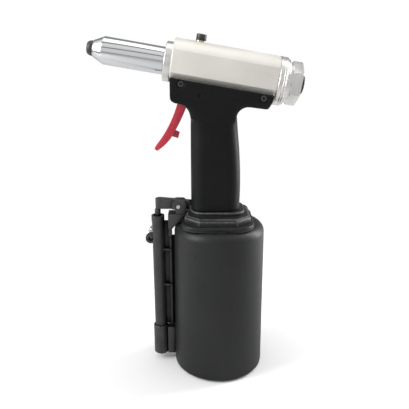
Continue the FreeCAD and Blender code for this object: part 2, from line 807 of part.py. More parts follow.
def build_head_casting():
    block = prism("head_block", "YZ_Plane", head_section(), "block_front", "block_back", HEAD)
    round_edges(block, "Chamfer", "edge", edges_at("X", "block_front", "block_back"))
    ridge = box(
        "head_ridge",
        ("ridge_front", "-ridge_half_width", "ridge_bottom"),
        ("ridge_back", "ridge_half_width", "facet_bottom + edge"),
        HEAD,
    )
    tube = rod("oil_tube", ("0", "0", "tube_bottom"), "tube_radius", "tube_top - tube_bottom")
    oil_cylinder = turned("head_bores", [
        ("block_front - edge", "0"),
        ("block_front - edge", "spigot_radius + seam"),
        ("spigot_back + seam", "spigot_radius + seam"),
        ("spigot_back + seam", "gland_bore"),
        ("bore_front", "gland_bore"),
        ("bore_front", "head_bore"),
        ("cap_thread_front - edge", "head_bore"),
        ("cap_thread_front - edge", "cap_thread_radius + seam"),
        ("block_back + edge", "cap_thread_radius + seam"),
        ("block_back + edge", "0"),
    ], HEAD)
    tube_bore = turned("tube_bore", [
        ("0", "tube_bottom - edge"),
        ("gland_radius + seam", "tube_bottom - edge"),
        ("gland_radius + seam", "gland_seat"),
        ("tube_bore", "gland_seat"),
        ("tube_bore", "tube_top"),
        ("0", "tube_top"),
    ], about="V_Axis")
    plug_hole = rod("plug_hole", ("plug_place", "0", "head_bore - edge"), "plug_thread_radius + seam",
                    "block_radius - head_bore + 2 * edge", "Z", HEAD)
    plug_seat = rod("plug_spot_face", ("plug_place", "0", "plug_seat"), "plug_seat_radius",
                    "block_radius - plug_seat + edge", "Z", HEAD)
    pocket = box(
        "trigger_pocket",
        ("pocket_front", "-pocket_half_width", "ridge_bottom - edge"),
        ("pocket_back", "pocket_half_width", "pocket_top"),
        HEAD,
    )
    taps = []
    for name, place in (("front", "screw_front"), ("back", "screw_back")):
        for side, start in (("left", "-ridge_half_width - edge"), ("right", "screw_tip - edge")):
            length = "ridge_half_width - screw_tip + 2 * edge"
            taps.append(rod(f"tap_{name}_{side}", (place, start, "screw_drop"),
                            "screw_radius + seam", length, "Y", HEAD))
    solid = fuse("head_solid", block, ridge, tube)
    node("head_casting", cut("head_casting_cut", solid, oil_cylinder, tube_bore, plug_hole, plug_seat,
                             pocket, *taps))


def build_oil_plug():
    seat = "plug_seat + washer_height"
    screw = turned("plug_turned", [
        ("0", "plug_seat - plug_length"),
        ("plug_thread_radius", "plug_seat - plug_length"),
        ("plug_thread_radius", seat),
        ("plug_head_radius", seat),
        ("plug_head_radius", f"{seat} + plug_head_height - edge"),
        ("plug_head_radius - edge", f"{seat} + plug_head_height"),
        ("0", f"{seat} + plug_head_height"),
    ], f"{HEAD} * placement(vector(plug_place; 0; 0); {ALONG['Z']})", "V_Axis")
    key = hexagon("plug_key_hole", ("plug_place", "0", f"{seat} + plug_head_height - plug_key_depth"),
                  "plug_key", "plug_key_depth + edge", "Z", HEAD)
    node("oil_plug_screw", cut("oil_plug_cut", screw, key))
    node("oil_plug_washer", turned("oil_plug_washer", [
        ("plug_thread_radius + seam", "plug_seat + seam"),
        ("washer_radius", "plug_seat + seam"),
        ("washer_radius", f"{seat} - seam"),
        ("plug_thread_radius + seam", f"{seat} - seam"),
    ], f"{HEAD} * placement(vector(plug_place; 0; 0); {ALONG['Z']})", "V_Axis"))


# ---- rear end: threaded cap, end cap, mandrel guide and bush ----

def build_rear():
    outside = [
        ("cap_thread_front", "cap_bore"),
        ("cap_thread_front", "cap_thread_radius"),
        ("block_back + seam", "cap_thread_radius"),
        ("block_back + seam", "block_radius - edge"),
        ("block_back + edge", "block_radius"),
    ]
    for number in range(int(value("ring_groove_count"))):
        groove = f"(ring_groove_front + {number} * ring_groove_pitch)"
        outside += [
            (groove, "block_radius"),
            (f"{groove} + ring_groove_depth", "block_radius - ring_groove_depth"),
            (f"{groove} + 2 * ring_groove_depth", "block_radius"),
        ]
    node("rear_cap", turned("rear_cap", outside + [
        ("ring_back - edge", "block_radius"),
        ("ring_back", "block_radius - edge"),
        ("ring_back", "step_radius"),
        ("step_back - edge", "step_radius"),
        ("step_back", "step_radius - edge"),
        ("step_back", "groove_radius"),
        ("end_cap_front - seam", "groove_radius"),
        ("end_cap_front - seam", "end_thread_radius + seam"),
        ("end_thread_front", "end_thread_radius + seam"),
        ("end_thread_front", "cap_bore"),
    ], HEAD))
    blank = turned("end_cap_turned", [
        ("end_thread_front + edge", "guide_radius + seam"),
        ("end_thread_front + edge", "end_thread_radius"),
        ("end_cap_front", "end_thread_radius"),
        ("end_cap_front", "end_cap_radius - edge"),
        ("end_cap_front + edge", "end_cap_radius"),
        ("end_cap_back - edge", "end_cap_radius"),
        ("end_cap_back", "end_cap_radius - 2 * edge"),
        ("end_cap_back", "bush_radius + seam"),
        ("bush_front - seam", "bush_radius + seam"),
        ("bush_front - seam", "guide_radius + seam"),
    ], HEAD)
    hexagonal = hexagon("end_cap_hexagon", ("end_thread_front", "0", "0"), "end_cap_width",
                        "end_cap_back - end_thread_front", "X", HEAD)
    node("end_cap", overlap("end_cap_shape", blank, hexagonal))
    node("mandrel_bush", turned("mandrel_bush", [
        ("bush_front", "bush_bore"),
        ("bush_front", "bush_radius"),
        ("bush_back - edge", "bush_radius"),
        ("bush_back", "bush_radius - edge"),
        ("bush_back", "bush_bore + edge"),
        ("bush_back - edge", "bush_bore"),
    ], HEAD))
    node("mandrel_guide_pipe", turned("mandrel_guide_pipe", [
        ("guide_front", "guide_bore"),
        ("guide_front", "guide_radius"),
        ("bush_front - 2 * seam", "guide_radius"),
        ("bush_front - 2 * seam", "guide_bore"),
    ], HEAD))


# ---- handle: two shells, screws, foot ----

def saddle_outline():
    """Side view of the handle's upper part, down to where it has blended into the grip."""
    def below_axis(place):
        return f"head_height - ({place}) * tan(head_tilt) + facet_bottom / cos(head_tilt)"
    return [
        ("shell_front", below_axis("shell_front")),
        ("shell_front", "shell_chin_height", "shell_chin_round"),
        ("chin_end", "chin_end_height"),
        ("brow", "brow_height", "-front_web_round"),
        ("grip_front", "front_web_height"),
        ("top_back", "rear_web_height", "-rear_web_round"),
        ("underside", "underside_height"),
        ("heel_tip", "heel_tip_height"),
        ("heel", "heel_height"),
        ("shell_back", below_axis("shell_back")),
    ]


def saddle_front_view():
    """Front view: the saddle narrows from its sides down to the grip."""
    return [
        ("-saddle_low_half_width", "saddle_low"),
        ("saddle_low_half_width", "saddle_low"),
        ("saddle_low_half_width", "saddle_narrow_height"),
        ("shell_half_width", "saddle_wide_height"),
        ("shell_half_width", "head_height"),
        ("-shell_half_width", "head_height"),
        ("-shell_half_width", "saddle_wide_height"),
        ("-saddle_low_half_width", "saddle_narrow_height"),
    ]


def build_grip():
    """The grip is lofted through round-cornered sections."""
    body = new_body("grip_loft", WORLD)
    stations = (
        ("grip_foot", "foot_back", "foot_half_width"),
        ("grip_low", "low_back", "foot_half_width"),
        ("grip_middle", "middle_back", "foot_half_width"),
        ("grip_upper", "upper_back", "upper_half_width"),
        ("grip_top", "top_back", "saddle_low_half_width"),
    )
    sections = []
    for height, back, half_width in stations:
        sketch = new_sketch(body, "XY_Plane", height)
        closed_outline(sketch, rounded_rectangle("grip_front", back, f"-{half_width}", half_width,
                                                 "grip_round"))
        sections.append(sketch)
    loft = body.newObject("PartDesign::AdditiveLoft", "grip_sections")
    loft.Profile = sections[0]
    loft.Sections = sections[1:]
    return body


def handle_room(label, low, high):
    """The round-cornered hollow that runs down the grip."""
    outline = rounded_rectangle("cavity_front", "cavity_back", "-cavity_half_width", "cavity_half_width",
                                "cavity_round")
    return prism(label, "XY_Plane", outline, low, high)


def build_handle():
    side_view = prism("saddle_side", "XZ_Plane", saddle_outline(), "-shell_half_width", "shell_half_width")
    front_view = prism("saddle_front", "YZ_Plane", saddle_front_view(), "shell_front - edge",
                       "shell_back + edge")
    saddle = overlap("saddle", side_view, front_view)
    solid = fuse("handle_solid", saddle, build_grip())
    grip_cavity = handle_room("grip_cavity", "grip_foot - edge", "cavity_top")
    upper_cavity = box(
        "upper_cavity",
        ("ridge_front - edge", "-ridge_half_width - gap", "ridge_bottom - gap"),
        ("ridge_back + edge", "ridge_half_width + gap", "facet_bottom + edge"),
        HEAD,
    )
    tube_room = rod("tube_room", ("0", "0", "cavity_top - edge"), "tube_radius + gap",
                    "head_height - cavity_top")
    trigger_slot = box("trigger_slot", ("trigger_slot_front", "-trigger_slot_half_width", "trigger_slot_low"),
                       ("trigger_slot_back", "trigger_slot_half_width", "trigger_slot_top"))
    rocker_slot = box("rocker_slot", ("grip_front - edge", "-rocker_slot_half_width", "grip_foot - edge"),
                      ("cavity_front + edge", "rocker_slot_half_width", "rocker_slot_top"))
    nut_room = rod("nut_room", ("nut_front", "0", "0"), "spigot_radius + gap", "ridge_front - nut_front",
                   "X", HEAD)
    pin_hole = rod("shell_pin_hole", ("pivot", "-shell_half_width - edge", "pivot_height"),
                   "trigger_pin_radius + seam", "2 * (shell_half_width + edge)", "Y")
    tools = [grip_cavity, upper_cavity, tube_room, trigger_slot, rocker_slot, nut_room, pin_hole]
    for name, place in (("front", "screw_front"), ("back", "screw_back")):
        tools.append(rod(f"screw_hole_{name}", (place, "-shell_half_width - edge", "screw_drop"),
                         "screw_radius + gap", "2 * (shell_half_width + edge)", "Y", HEAD))
        for side, start in (("left", "-shell_half_width - edge"), ("right", "screw_seat")):
            tools.append(rod(f"screw_recess_{name}_{side}", (place, start, "screw_drop"),
                             "screw_recess_radius", "shell_half_width - screw_seat + edge", "Y", HEAD))
    hollow = cut("handle_hollow", solid, *tools)
    halves = (("handle_shell_left", "-shell_half_width - edge", "-seam / 2"),
              ("handle_shell_right", "seam / 2", "shell_half_width + edge"))
    for label, low, high in halves:
        half = box(label + "_half", ("shell_front - edge", low, "grip_foot - edge"),
                   ("shell_back + edge", high, "head_height"))
        node(label, overlap(label + "_shape", hollow, half))


def build_shell_screws():
    """Four short screws, two in each shell, in one group."""
    solids = []
    for side, tip, seat, top in (
        ("left", "-screw_seat", "-screw_seat - screw_head_height", "-screw_seat - screw_head_height - edge"),
        ("right", "screw_tip", "screw_seat", "screw_seat + screw_head_height / 2"),
    ):
        for name, place in (("front", "screw_front"), ("back", "screw_back")):
            tag = f"{name}_{side}"
            shank = rod("screw_shank_" + tag, (place, tip, "screw_drop"), "screw_radius",
                        "screw_seat - screw_tip", "Y", HEAD)
            head = rod("screw_head_" + tag, (place, seat, "screw_drop"), "screw_head_radius",
                       "screw_head_height", "Y", HEAD)
            key = hexagon("screw_key_" + tag, (place, top, "screw_drop"), "screw_key",
                          "screw_head_height / 2 + edge", "Y", HEAD)
            solids.append(cut("screw_" + tag, fuse("screw_blank_" + tag, shank, head), key))
    group = doc.addObject("Part::Compound", "shell_screw_group")
    group.Links = solids
    node("shell_screws", group)


def build_foot():
    """Seat ring, flange and stepped collar between the handle and the air cylinder."""
    seat = prism("seat_blank", "XY_Plane", rounded_rectangle(
        "seat_front", "seat_back", "-seat_half_width", "seat_half_width", "seat_round"),
        "seat_low", "seat_high - seam")
    round_edges(seat, "Chamfer", "edge", edges_at("Z", "seat_high - seam"))
    opening = handle_room("seat_opening", "seat_low - edge", "seat_high + edge")
    node("handle_seat", cut("seat_cut", seat, opening))

    left, right = "flange_centre - flange_half", "flange_centre + flange_half"
    flange = prism("flange_blank", "XY_Plane", [
        (f"{left} + flange_corner", "-flange_half"),
        (f"{right} - flange_corner", "-flange_half"),
        (right, "-flange_half + flange_corner"),
        (right, "flange_half - flange_corner"),
        (f"{right} - flange_corner", "flange_half"),
        (f"{left} + flange_corner", "flange_half"),
        (left, "flange_half - flange_corner"),
        (left, "-flange_half + flange_corner"),
    ], "flange_low", "seat_low - seam")
    round_edges(flange, "Chamfer", "flange_edge", edges_at("Z", "seat_low - seam"))
    flange_hole = rod("flange_hole", ("0", "0", "flange_low - edge"), "tube_radius + gap",
                      "seat_low - flange_low + 2 * edge")
    node("handle_flange", cut("flange_cut", flange, flange_hole))

    collar = prism("collar_blank", "XY_Plane", rounded_rectangle(
        "flange_centre - collar_half", "flange_centre + collar_half", "-collar_half", "collar_half",
        "collar_round"), "collar_low + seam", "flange_low - seam")
    round_edges(collar, "Fillet", "collar_edge", edges_at("Z", "flange_low - seam"))
    collar_hole = rod("collar_hole", ("0", "0", "collar_low - edge"), "tube_radius + gap",
                      "flange_low - collar_low + 2 * edge")
    node("cylinder_collar", cut("collar_cut", collar, collar_hole))


# ---- trigger, pull rod, rocker ----

def build_trigger():
    profile = [
        ("arm_back", "arm_low"),
        ("arm_back", "pivot_height"),
        ("pivot + eye_radius", "pivot_height", "eye_radius"),
        ("pivot - eye_radius", "pivot_height"),
        ("lever_brow", "lever_brow_height", "-lever_front_curve"),
        ("lever_tip", "lever_tip_height", "lever_tip_round"),
        ("lever_end", "lever_end_height", "lever_toe_curve"),
        ("lever_bend", "lever_bend_height", "lever_rear_curve"),
        ("lever_top", "lever_top_height"),
        ("arm_root", "arm_root_low"),
    ]
    lever = prism("trigger_lever", "XZ_Plane", profile, "-trigger_half_width", "trigger_half_width")
    tab = prism("trigger_tab", "XZ_Plane", [
        ("tab_root", "tab_root_height"),
        ("tab_low", "tab_low_height"),
        ("tab_corner", "tab_corner_height"),
        ("tab_high", "tab_high_height"),
        ("tab_root", "tab_high_height"),
    ], "-tab_half_width", "tab_half_width")
    pin_hole = rod("trigger_pin_hole", ("pivot", "-trigger_half_width - edge", "pivot_height"),
                   "trigger_pin_radius + gap", "2 * (trigger_half_width + edge)", "Y")
    slot = box("trigger_rod_slot", ("arm_slot_front", "-rod_slot", "arm_root_low - edge"),
               ("arm_back + edge", "rod_slot", "pivot_height + edge"))
    node("trigger", cut("trigger_cut", fuse("trigger_solid", lever, tab), pin_hole, slot))
    node("trigger_pin", rod("trigger_pin_rod", ("pivot", "-trigger_pin_half_length", "pivot_height"),
                            "trigger_pin_radius", "2 * trigger_pin_half_length", "Y"))


def build_pull_rod():
    """A wire rod with a crossbar at each end: the trigger lifts one, the other lifts the rocker."""
    hook_height = "(pivot_height + crossbar_radius + lift_gap)"
    foot_height = "(rocker_finger_low - crossbar_radius - lift_gap)"
    run = "(hook_place - rod_foot)"
    rise = f"({hook_height} - {foot_height})"
    stem = doc.addObject("Part::Cylinder", "pull_rod_stem")
    bind(stem, Radius="pull_rod_radius", Height=f"sqrt({run} ^ 2 + {rise} ^ 2)",
         Placement=f"placement(vector(rod_foot; 0; {foot_height});"
                   f" rotation(vector(0; 1; 0); atan({run} / {rise})))")
    bars = [
        rod("crossbar_" + name, (place, "-crossbar_half_length", height), "crossbar_radius",
            "2 * crossbar_half_length", "Y")
        for name, place, height in (("upper", "hook_place", hook_height), ("lower", "rod_foot", foot_height))
    ]
    node("pull_rod", fuse("pull_rod_solid", stem, *bars))


def build_rocker():
    tip = "rocker_front - rocker_half_width - edge"
    plan = prism("rocker_plan", "XY_Plane", [
        ("rocker_front", "-rocker_half_width"),
        ("rocker_back", "-rocker_half_width"),
        ("rocker_back", "rocker_half_width"),
        ("rocker_front", "rocker_half_width", "rocker_half_width"),
    ], "rocker_belly - edge", "rocker_crown + edge")
    side = prism("rocker_side", "XZ_Plane", [
        (tip, "rocker_belly"),
        ("rocker_step", "rocker_belly"),
        ("rocker_step", "rocker_finger_low"),
        ("rocker_back + edge", "rocker_finger_low"),
        ("rocker_back + edge", "rocker_crown_back"),
        ("rocker_front", "rocker_crown - edge / 4"),
        (tip, "rocker_crown - edge"),
    ], "-rocker_half_width - edge", "rocker_half_width + edge")
    rod_room = box("rocker_rod_slot", ("rocker_step", "-rod_slot", "rocker_belly"),
                   ("rocker_back + edge", "rod_slot", "rocker_crown"))
    pin_hole = rod("rocker_pin_hole", ("rocker_pivot", "-rocker_half_width - edge", "rocker_pivot_height"),
                   "rocker_pin_radius + gap", "2 * (rocker_half_width + edge)", "Y")
    node("rocker", cut("rocker_cut", overlap("rocker_blank", plan, side), rod_room, pin_hole))
    node("rocker_pin", rod("rocker_pin_rod",
                           ("rocker_pivot", "-rocker_pin_half_length", "rocker_pivot_height"),
                           "rocker_pin_radius", "2 * rocker_pin_half_length", "Y"))


def build_rocker_bracket():
    """A block against the collar, with two ears that hold the rocker's pin."""
    block = prism("bracket_block", "XZ_Plane", [
        ("bracket_front", "bracket_low"),
        ("bracket_lip", "bracket_low"),
        ("bracket_shelf", "bracket_shelf_height"),
        ("bracket_neck", "bracket_shelf_height"),
        ("bracket_neck", "bracket_neck_height"),
        ("bracket_back", "bracket_neck_height"),
        ("bracket_back", "bracket_top"),
        ("bracket_front", "bracket_top"),
    ], "-bracket_half_width", "bracket_half_width")
    leg = box("bracket_leg", ("bracket_front", "-bracket_leg_half_width", "bracket_leg_low"),
              ("bracket_leg_back", "bracket_leg_half_width", "bracket_low + edge"))
    pieces = [block, leg]
    for side, low, high in (("left", "-ear_outside", "-ear_inside"), ("right", "ear_inside", "ear_outside")):
        pieces.append(prism("bracket_ear_" + side, "XZ_Plane", [
            ("ear_neck_front", "bracket_top - edge"),
            ("ear_neck_back", "bracket_top - edge"),
            ("ear_back", "ear_low"),
            ("ear_back", "ear_shoulder", "ear_round"),
            ("ear_back - ear_round", "ear_top"),
            ("ear_front + ear_round", "ear_top", "ear_round"),
            ("ear_front", "ear_shoulder"),
            ("ear_front", "ear_low"),
            ("ear_neck_front", "ear_low - edge"),
        ], low, high))
    hole = rod("ear_hole", ("rocker_pivot", "-ear_outside - edge", "rocker_pivot_height"),
               "rocker_pin_radius + seam", "2 * (ear_outside + edge)", "Y")
    shoulder = rod("shoulder_clearance", ("0", "0", "0"), "cylinder_radius + gap", "tube_bottom + eye_radius")
    node("rocker_bracket", cut("bracket_cut", fuse("bracket_solid", *pieces), hole, shoulder))


# ---- air valve in front of the cylinder ----

def valve_frame():
    return f"placement(vector(valve_place; 0; 0); {ALONG['Z']})"


def build_valve_housing():
    tube = rod("valve_tube", ("valve_place", "0", "housing_bottom"), "housing_radius",
               "housing_top - housing_bottom")
    rim = rod("valve_rim", ("valve_place", "0", "housing_rim_low"), "housing_rim_radius",
              "housing_top - housing_rim_low")
    pieces = [tube, rim]
    for name, height in (("upper", "web_upper"), ("lower", "web_lower")):
        pieces.append(box("valve_web_" + name,
                          ("valve_place", "-web_half_width", f"{height} - web_half_height"),
                          ("strip_back", "web_half_width", f"{height} + web_half_height")))
    pieces.append(box("valve_strip", ("strip_front", "-strip_half_width", "manifold_high - edge"),
                      ("strip_back", "strip_half_width", "strip_top")))
    plate = box("valve_plate", ("valve_place", "plate_near", "manifold_high + seam"),
                ("-tube_radius", "plate_far", "strip_top"))
    cylinder_wall = turned("plate_clearance", [
        ("0", "cylinder_bottom + bottom_round"),
        ("cylinder_radius + gap", "cylinder_bottom + bottom_round"),
        ("cylinder_top_radius + gap", "collar_low - shoulder_round"),
        ("0", "collar_low - shoulder_round"),
    ], about="V_Axis")
    pieces.append(cut("valve_plate_trimmed", plate, cylinder_wall))
    pieces.append(box("valve_plate_upper",
                      ("valve_place", "plate_near", "strip_top - edge"),
                      ("bracket_front - gap", "plate_far", "housing_rim_low")))
    pieces.append(rod("inlet_boss", ("inlet_place", "inlet_boss_front", "inlet_height"),
                      "inlet_boss_radius", "inlet_boss_back - inlet_boss_front", "Y"))
    bore = rod("valve_bore", ("valve_place", "0", "housing_bottom - edge"), "housing_bore",
               "housing_top - housing_bottom + 2 * edge")
    seat = rod("valve_bush_seat", ("valve_place", "0", "bush_seat"), "bush_seat_radius",
               "housing_top - bush_seat + edge")
    feed = rod("inlet_feed", ("inlet_place", "0", "inlet_height"), "air_passage_radius",
               "valve_place - inlet_place", "X")
    port = rod("inlet_port", ("inlet_place", "0", "inlet_height"), "inlet_bore",
               "inlet_boss_back + edge", "Y")
    node("valve_housing", cut("valve_housing_cut", fuse("valve_housing_solid", *pieces), bore, seat,
                              feed, port))


def build_valve_works():
    stem_top = "(rocker_belly - lift_gap)"
    lower_high = "spool_low + land_height"
    upper_low = "spool_high - land_height"
    node("valve_stem", turned("valve_stem", [
        ("0", "stem_bottom"),
        ("stem_radius", "stem_bottom"),
        ("stem_radius", "spool_low"),
        ("housing_bore - gap", "spool_low"),
        ("housing_bore - gap", "spool_low + land_groove"),
        ("land_groove_radius", "spool_low + land_groove"),
        ("land_groove_radius", f"{lower_high} - land_groove"),
        ("housing_bore - gap", f"{lower_high} - land_groove"),
        ("housing_bore - gap", lower_high),
        ("stem_radius", lower_high),
        ("stem_radius", upper_low),
        ("housing_bore - gap", upper_low),
        ("housing_bore - gap", f"{upper_low} + land_groove"),
        ("land_groove_radius", f"{upper_low} + land_groove"),
        ("land_groove_radius", "spool_high - land_groove"),
        ("housing_bore - gap", "spool_high - land_groove"),
        ("housing_bore - gap", "spool_high"),
        ("stem_radius", "spool_high"),
        ("stem_radius", "button_low"),
        ("button_radius", "button_low"),
        ("button_radius", f"{stem_top} - 2 * edge"),
        ("button_radius - 2 * edge", stem_top),
        ("0", stem_top),
    ], valve_frame(), "V_Axis"))
    rings = []
    for name, low in (("lower", "spool_low"), ("upper", "spool_high - land_height")):
        rings.append(turned("valve_seal_" + name, [
            ("land_groove_radius + seam", f"{low} + land_groove + gap"),
            ("housing_bore - gap", f"{low} + land_groove + gap"),
            ("housing_bore - gap", f"{low} + land_height - land_groove - gap"),
            ("land_groove_radius + seam", f"{low} + land_height - land_groove - gap"),
        ], valve_frame(), "V_Axis"))
    seals = doc.addObject("Part::Compound", "valve_seal_group")
    seals.Links = rings
    node("valve_seals", seals)
    node("valve_top_bush", turned("valve_top_bush", [
        ("stem_radius + gap", "bush_seat + seam"),
        ("bush_seat_radius - seam", "bush_seat + seam"),
        ("bush_seat_radius - seam", "valve_bush_top"),
        ("stem_radius + gap", "valve_bush_top"),
    ], valve_frame(), "V_Axis"))
    floor = "(manifold_low + valve_plug_height)"
    node("valve_spring", coil(
        "valve_spring",
        f"{floor} + valve_spring_wire + seam",
        "valve_spring_radius",
        "valve_spring_wire",
        f"stem_bottom - {floor} - 2 * valve_spring_wire - 2 * seam",
        "valve_spring_turns",
        valve_frame(),
        "V_Axis",
    ))


def build_manifold():
    collar = turned("manifold_collar", [
        ("0", "manifold_low"),
        ("manifold_radius - edge", "manifold_low"),
        ("manifold_radius", "manifold_low + edge"),
        ("manifold_radius", "manifold_high - edge"),
        ("manifold_radius - edge", "manifold_high"),
        ("0", "manifold_high"),
    ], valve_frame(), "V_Axis")
    column = box("manifold_column", ("column_front", "-column_half_width", "manifold_low"),
                 ("column_back", "column_half_width", "column_high"))
    neck = box("manifold_neck", ("valve_place", "-neck_half_width", "manifold_low"),
               ("column_front + edge", "neck_half_width", "column_high"))
    socket = rod("housing_socket", ("valve_place", "0", "housing_bottom - seam"), "housing_radius + seam",
                 "manifold_high - housing_bottom + edge")
    chamber = rod("spring_chamber", ("valve_place", "0", "manifold_low - edge"), "housing_bore",
                  "housing_bottom - manifold_low + edge")
    plug_seat = rod("valve_plug_seat", ("valve_place", "0", "manifold_low - edge"),
                    "valve_plug_radius + seam", "valve_plug_height + edge")
    wall = rod("cylinder_clearance", ("0", "0", "0"), "cylinder_radius + gap", "tube_bottom")
    strip_room = box("strip_room", ("strip_front - gap", "-strip_half_width - gap", "manifold_high - edge"),
                     ("strip_back + gap", "strip_half_width + gap", "manifold_high + edge"))
    passage = rod("manifold_passage", ("valve_place", "0", "air_passage + valve_plug_radius"),
                  "air_passage_radius", "-valve_place", "X")
    node("valve_manifold", cut("manifold_cut", fuse("manifold_solid", collar, column, neck), socket,
                               chamber, plug_seat, wall, strip_room, passage))
    plug = rod("valve_plug_blank", ("valve_place", "0", "manifold_low"), "valve_plug_radius",
               "valve_plug_height - seam")
    key = hexagon("valve_plug_key", ("valve_place", "0", "manifold_low - edge"), "plug_key",
                  "plug_key_depth + edge")
    node("valve_plug", cut("valve_plug_cut", plug, key))


def build_air_inlet():
    """A ribbed quick-coupling nipple on the far side of the valve tube."""
    frame = "placement(vector(inlet_place; 0; inlet_height); rotation(vector(0; 0; 1); 90))"
    node("air_inlet_nipple", turned("air_inlet_nipple", [
        ("inlet_boss_back + seam", "inlet_bore"),
        ("inlet_boss_back + seam", "inlet_collar_radius - edge"),
        ("inlet_boss_back + edge", "inlet_collar_radius"),
        ("inlet_collar_back - edge", "inlet_collar_radius"),
        ("inlet_collar_back", "inlet_collar_radius - edge"),
        ("inlet_collar_back", "inlet_neck_radius"),
        ("inlet_rib_front", "inlet_neck_radius"),
        ("inlet_rib_front + edge", "inlet_rib_radius"),
        ("inlet_rib_back - edge", "inlet_rib_radius"),
        ("inlet_rib_back", "inlet_neck_radius"),
        ("inlet_plug_front", "inlet_neck_radius"),
        ("inlet_plug_front + edge", "inlet_plug_radius"),
        ("inlet_plug_back - edge", "inlet_plug_radius"),
        ("inlet_plug_back", "inlet_plug_radius - edge"),
        ("inlet_plug_back", "inlet_bore"),
    ], frame))


# ---- air cylinder, air piston, ram and base ----

def build_air_cylinder():
    cup = turned("air_cylinder_cup", [
        ("cylinder_bore", "cylinder_bottom"),
        ("cylinder_radius - bottom_round", "cylinder_bottom", "bottom_round"),
        ("cylinder_radius", "cylinder_bottom + bottom_round"),
        ("cylinder_top_radius", "collar_low - shoulder_round", "shoulder_round"),
        ("cylinder_top_radius - shoulder_round", "collar_low"),
        ("tube_radius + gap", "collar_low"),
        ("tube_radius + gap", "cylinder_roof"),
        ("cylinder_bore", "cylinder_roof"),
    ], about="V_Axis")
    port = rod("cylinder_port", ("-cylinder_radius - edge", "0", "air_passage"), "air_passage_radius",
               "cylinder_radius - cylinder_bore + ram_thread_radius", "X")
    node("air_cylinder", cut("air_cylinder_cut", cup, port))


def build_base():
    cap = turned("base_cap_turned", [
        ("0", "0"),
        ("base_boss_radius", "0"),
        ("base_boss_radius + base_recess_height", "base_recess_height"),
        ("base_recess_radius - base_recess_height", "base_recess_height"),
        ("base_recess_radius", "0"),
        ("cylinder_bore - edge", "0"),
        ("cylinder_bore - seam", "edge"),
        ("cylinder_bore - seam", "base_seal_low"),
        ("cylinder_bore - base_seal_depth", "base_seal_low"),
        ("cylinder_bore - base_seal_depth", "base_seal_high"),
        ("cylinder_bore - seam", "base_seal_high"),
        ("cylinder_bore - seam", "base_top"),
        ("0", "base_top"),
    ], about="V_Axis")
    keys = [
        rod("key_hole_" + name, (place, "0", "-edge"), "key_hole_radius", "key_hole_depth + edge")
        for name, place in (("front", "-key_hole_place"), ("back", "key_hole_place"))
    ]
    node("base_cap", cut("base_cap_cut", cap, *keys))
    node("base_seal", turned("base_seal", [
        ("cylinder_bore - base_seal_depth + seam", "base_seal_low + seam"),
        ("cylinder_bore - seam", "base_seal_low + seam"),
        ("cylinder_bore - seam", "base_seal_high - seam"),
        ("cylinder_bore - base_seal_depth + seam", "base_seal_high - seam"),
    ], about="V_Axis"))


def build_air_piston():
    node("air_piston", turned("air_piston", [
        ("ram_thread_radius + seam", "air_piston_low"),
        ("cylinder_bore - gap - edge", "air_piston_low"),
        ("cylinder_bore - gap", "air_piston_low + edge"),
        ("cylinder_bore - gap", "air_seal_low"),
        ("cylinder_bore - air_seal_depth", "air_seal_low"),
        ("cylinder_bore - air_seal_depth", "air_seal_high"),
        ("cylinder_bore - gap", "air_seal_high"),
        ("cylinder_bore - gap", "air_piston_high - edge"),
        ("cylinder_bore - gap - edge", "air_piston_high"),
        ("ram_thread_radius + seam", "air_piston_high"),
    ], about="V_Axis"))
    node("air_piston_seal", turned("air_piston_seal", [
        ("cylinder_bore - air_seal_depth + seam", "air_seal_low + seam"),
        ("cylinder_bore - gap", "air_seal_low + seam"),
        ("cylinder_bore - gap", "air_seal_high - seam"),
        ("cylinder_bore - air_seal_depth + seam", "air_seal_high - seam"),
    ], about="V_Axis"))
    node("ram_rod", turned("ram_rod", [
        ("0", "ram_bottom"),
        ("ram_thread_radius", "ram_bottom"),
        ("ram_thread_radius", "air_piston_high + seam"),
        ("ram_radius", "air_piston_high + seam"),
        ("ram_radius", "ram_top - 2 * edge"),
        ("ram_radius - 2 * edge", "ram_top"),
        ("0", "ram_top"),
    ], about="V_Axis"))
    nut = hexagon("piston_nut_blank", ("0", "0", "piston_nut_low"), "piston_nut_width",
                  "air_piston_low - piston_nut_low - seam")
    nut_hole = rod("piston_nut_hole", ("0", "0", "piston_nut_low - edge"), "ram_thread_radius + seam",
                   "air_piston_low - piston_nut_low + 2 * edge")
    node("piston_nut", cut("piston_nut_cut", nut, nut_hole))


def build_gland():
    node("ram_gland", turned("ram_gland", [
        ("ram_radius + gap", "gland_low"),
        ("gland_radius", "gland_low"),
        ("gland_radius", "gland_high"),
        ("ram_radius + gap", "gland_high"),
    ], about="V_Axis"))
    node("ram_seal", turned("ram_seal", [
        ("ram_radius + gap", "gland_high + seam"),
        ("gland_radius", "gland_high + seam"),
        ("gland_radius", "gland_seat - seam"),
        ("ram_radius + gap", "gland_seat - seam"),
    ], about="V_Axis"))
    nut = hexagon("cylinder_nut_blank", ("0", "0", "lock_nut_low"), "cylinder_nut_width",
                  "cylinder_roof - lock_nut_low - seam")
    hole = rod("cylinder_nut_hole", ("0", "0", "lock_nut_low - edge"), "tube_radius + seam",
               "cylinder_roof - lock_nut_low + 2 * edge")
    node("cylinder_lock_nut", cut("cylinder_nut_cut", nut, hole))


# ---- build, check, write ----

def check(things):
    failed = [thing.Name for thing in things if {"Invalid", "Error"} & set(thing.State)]
    if failed:
        raise RuntimeError("these objects failed: " + ", ".join(failed))
    for label, thing in NODES.items():
        if thing.Shape.isNull() or not thing.Shape.isValid() or not thing.Shape.Solids:
            raise RuntimeError(label + " has no valid solid")


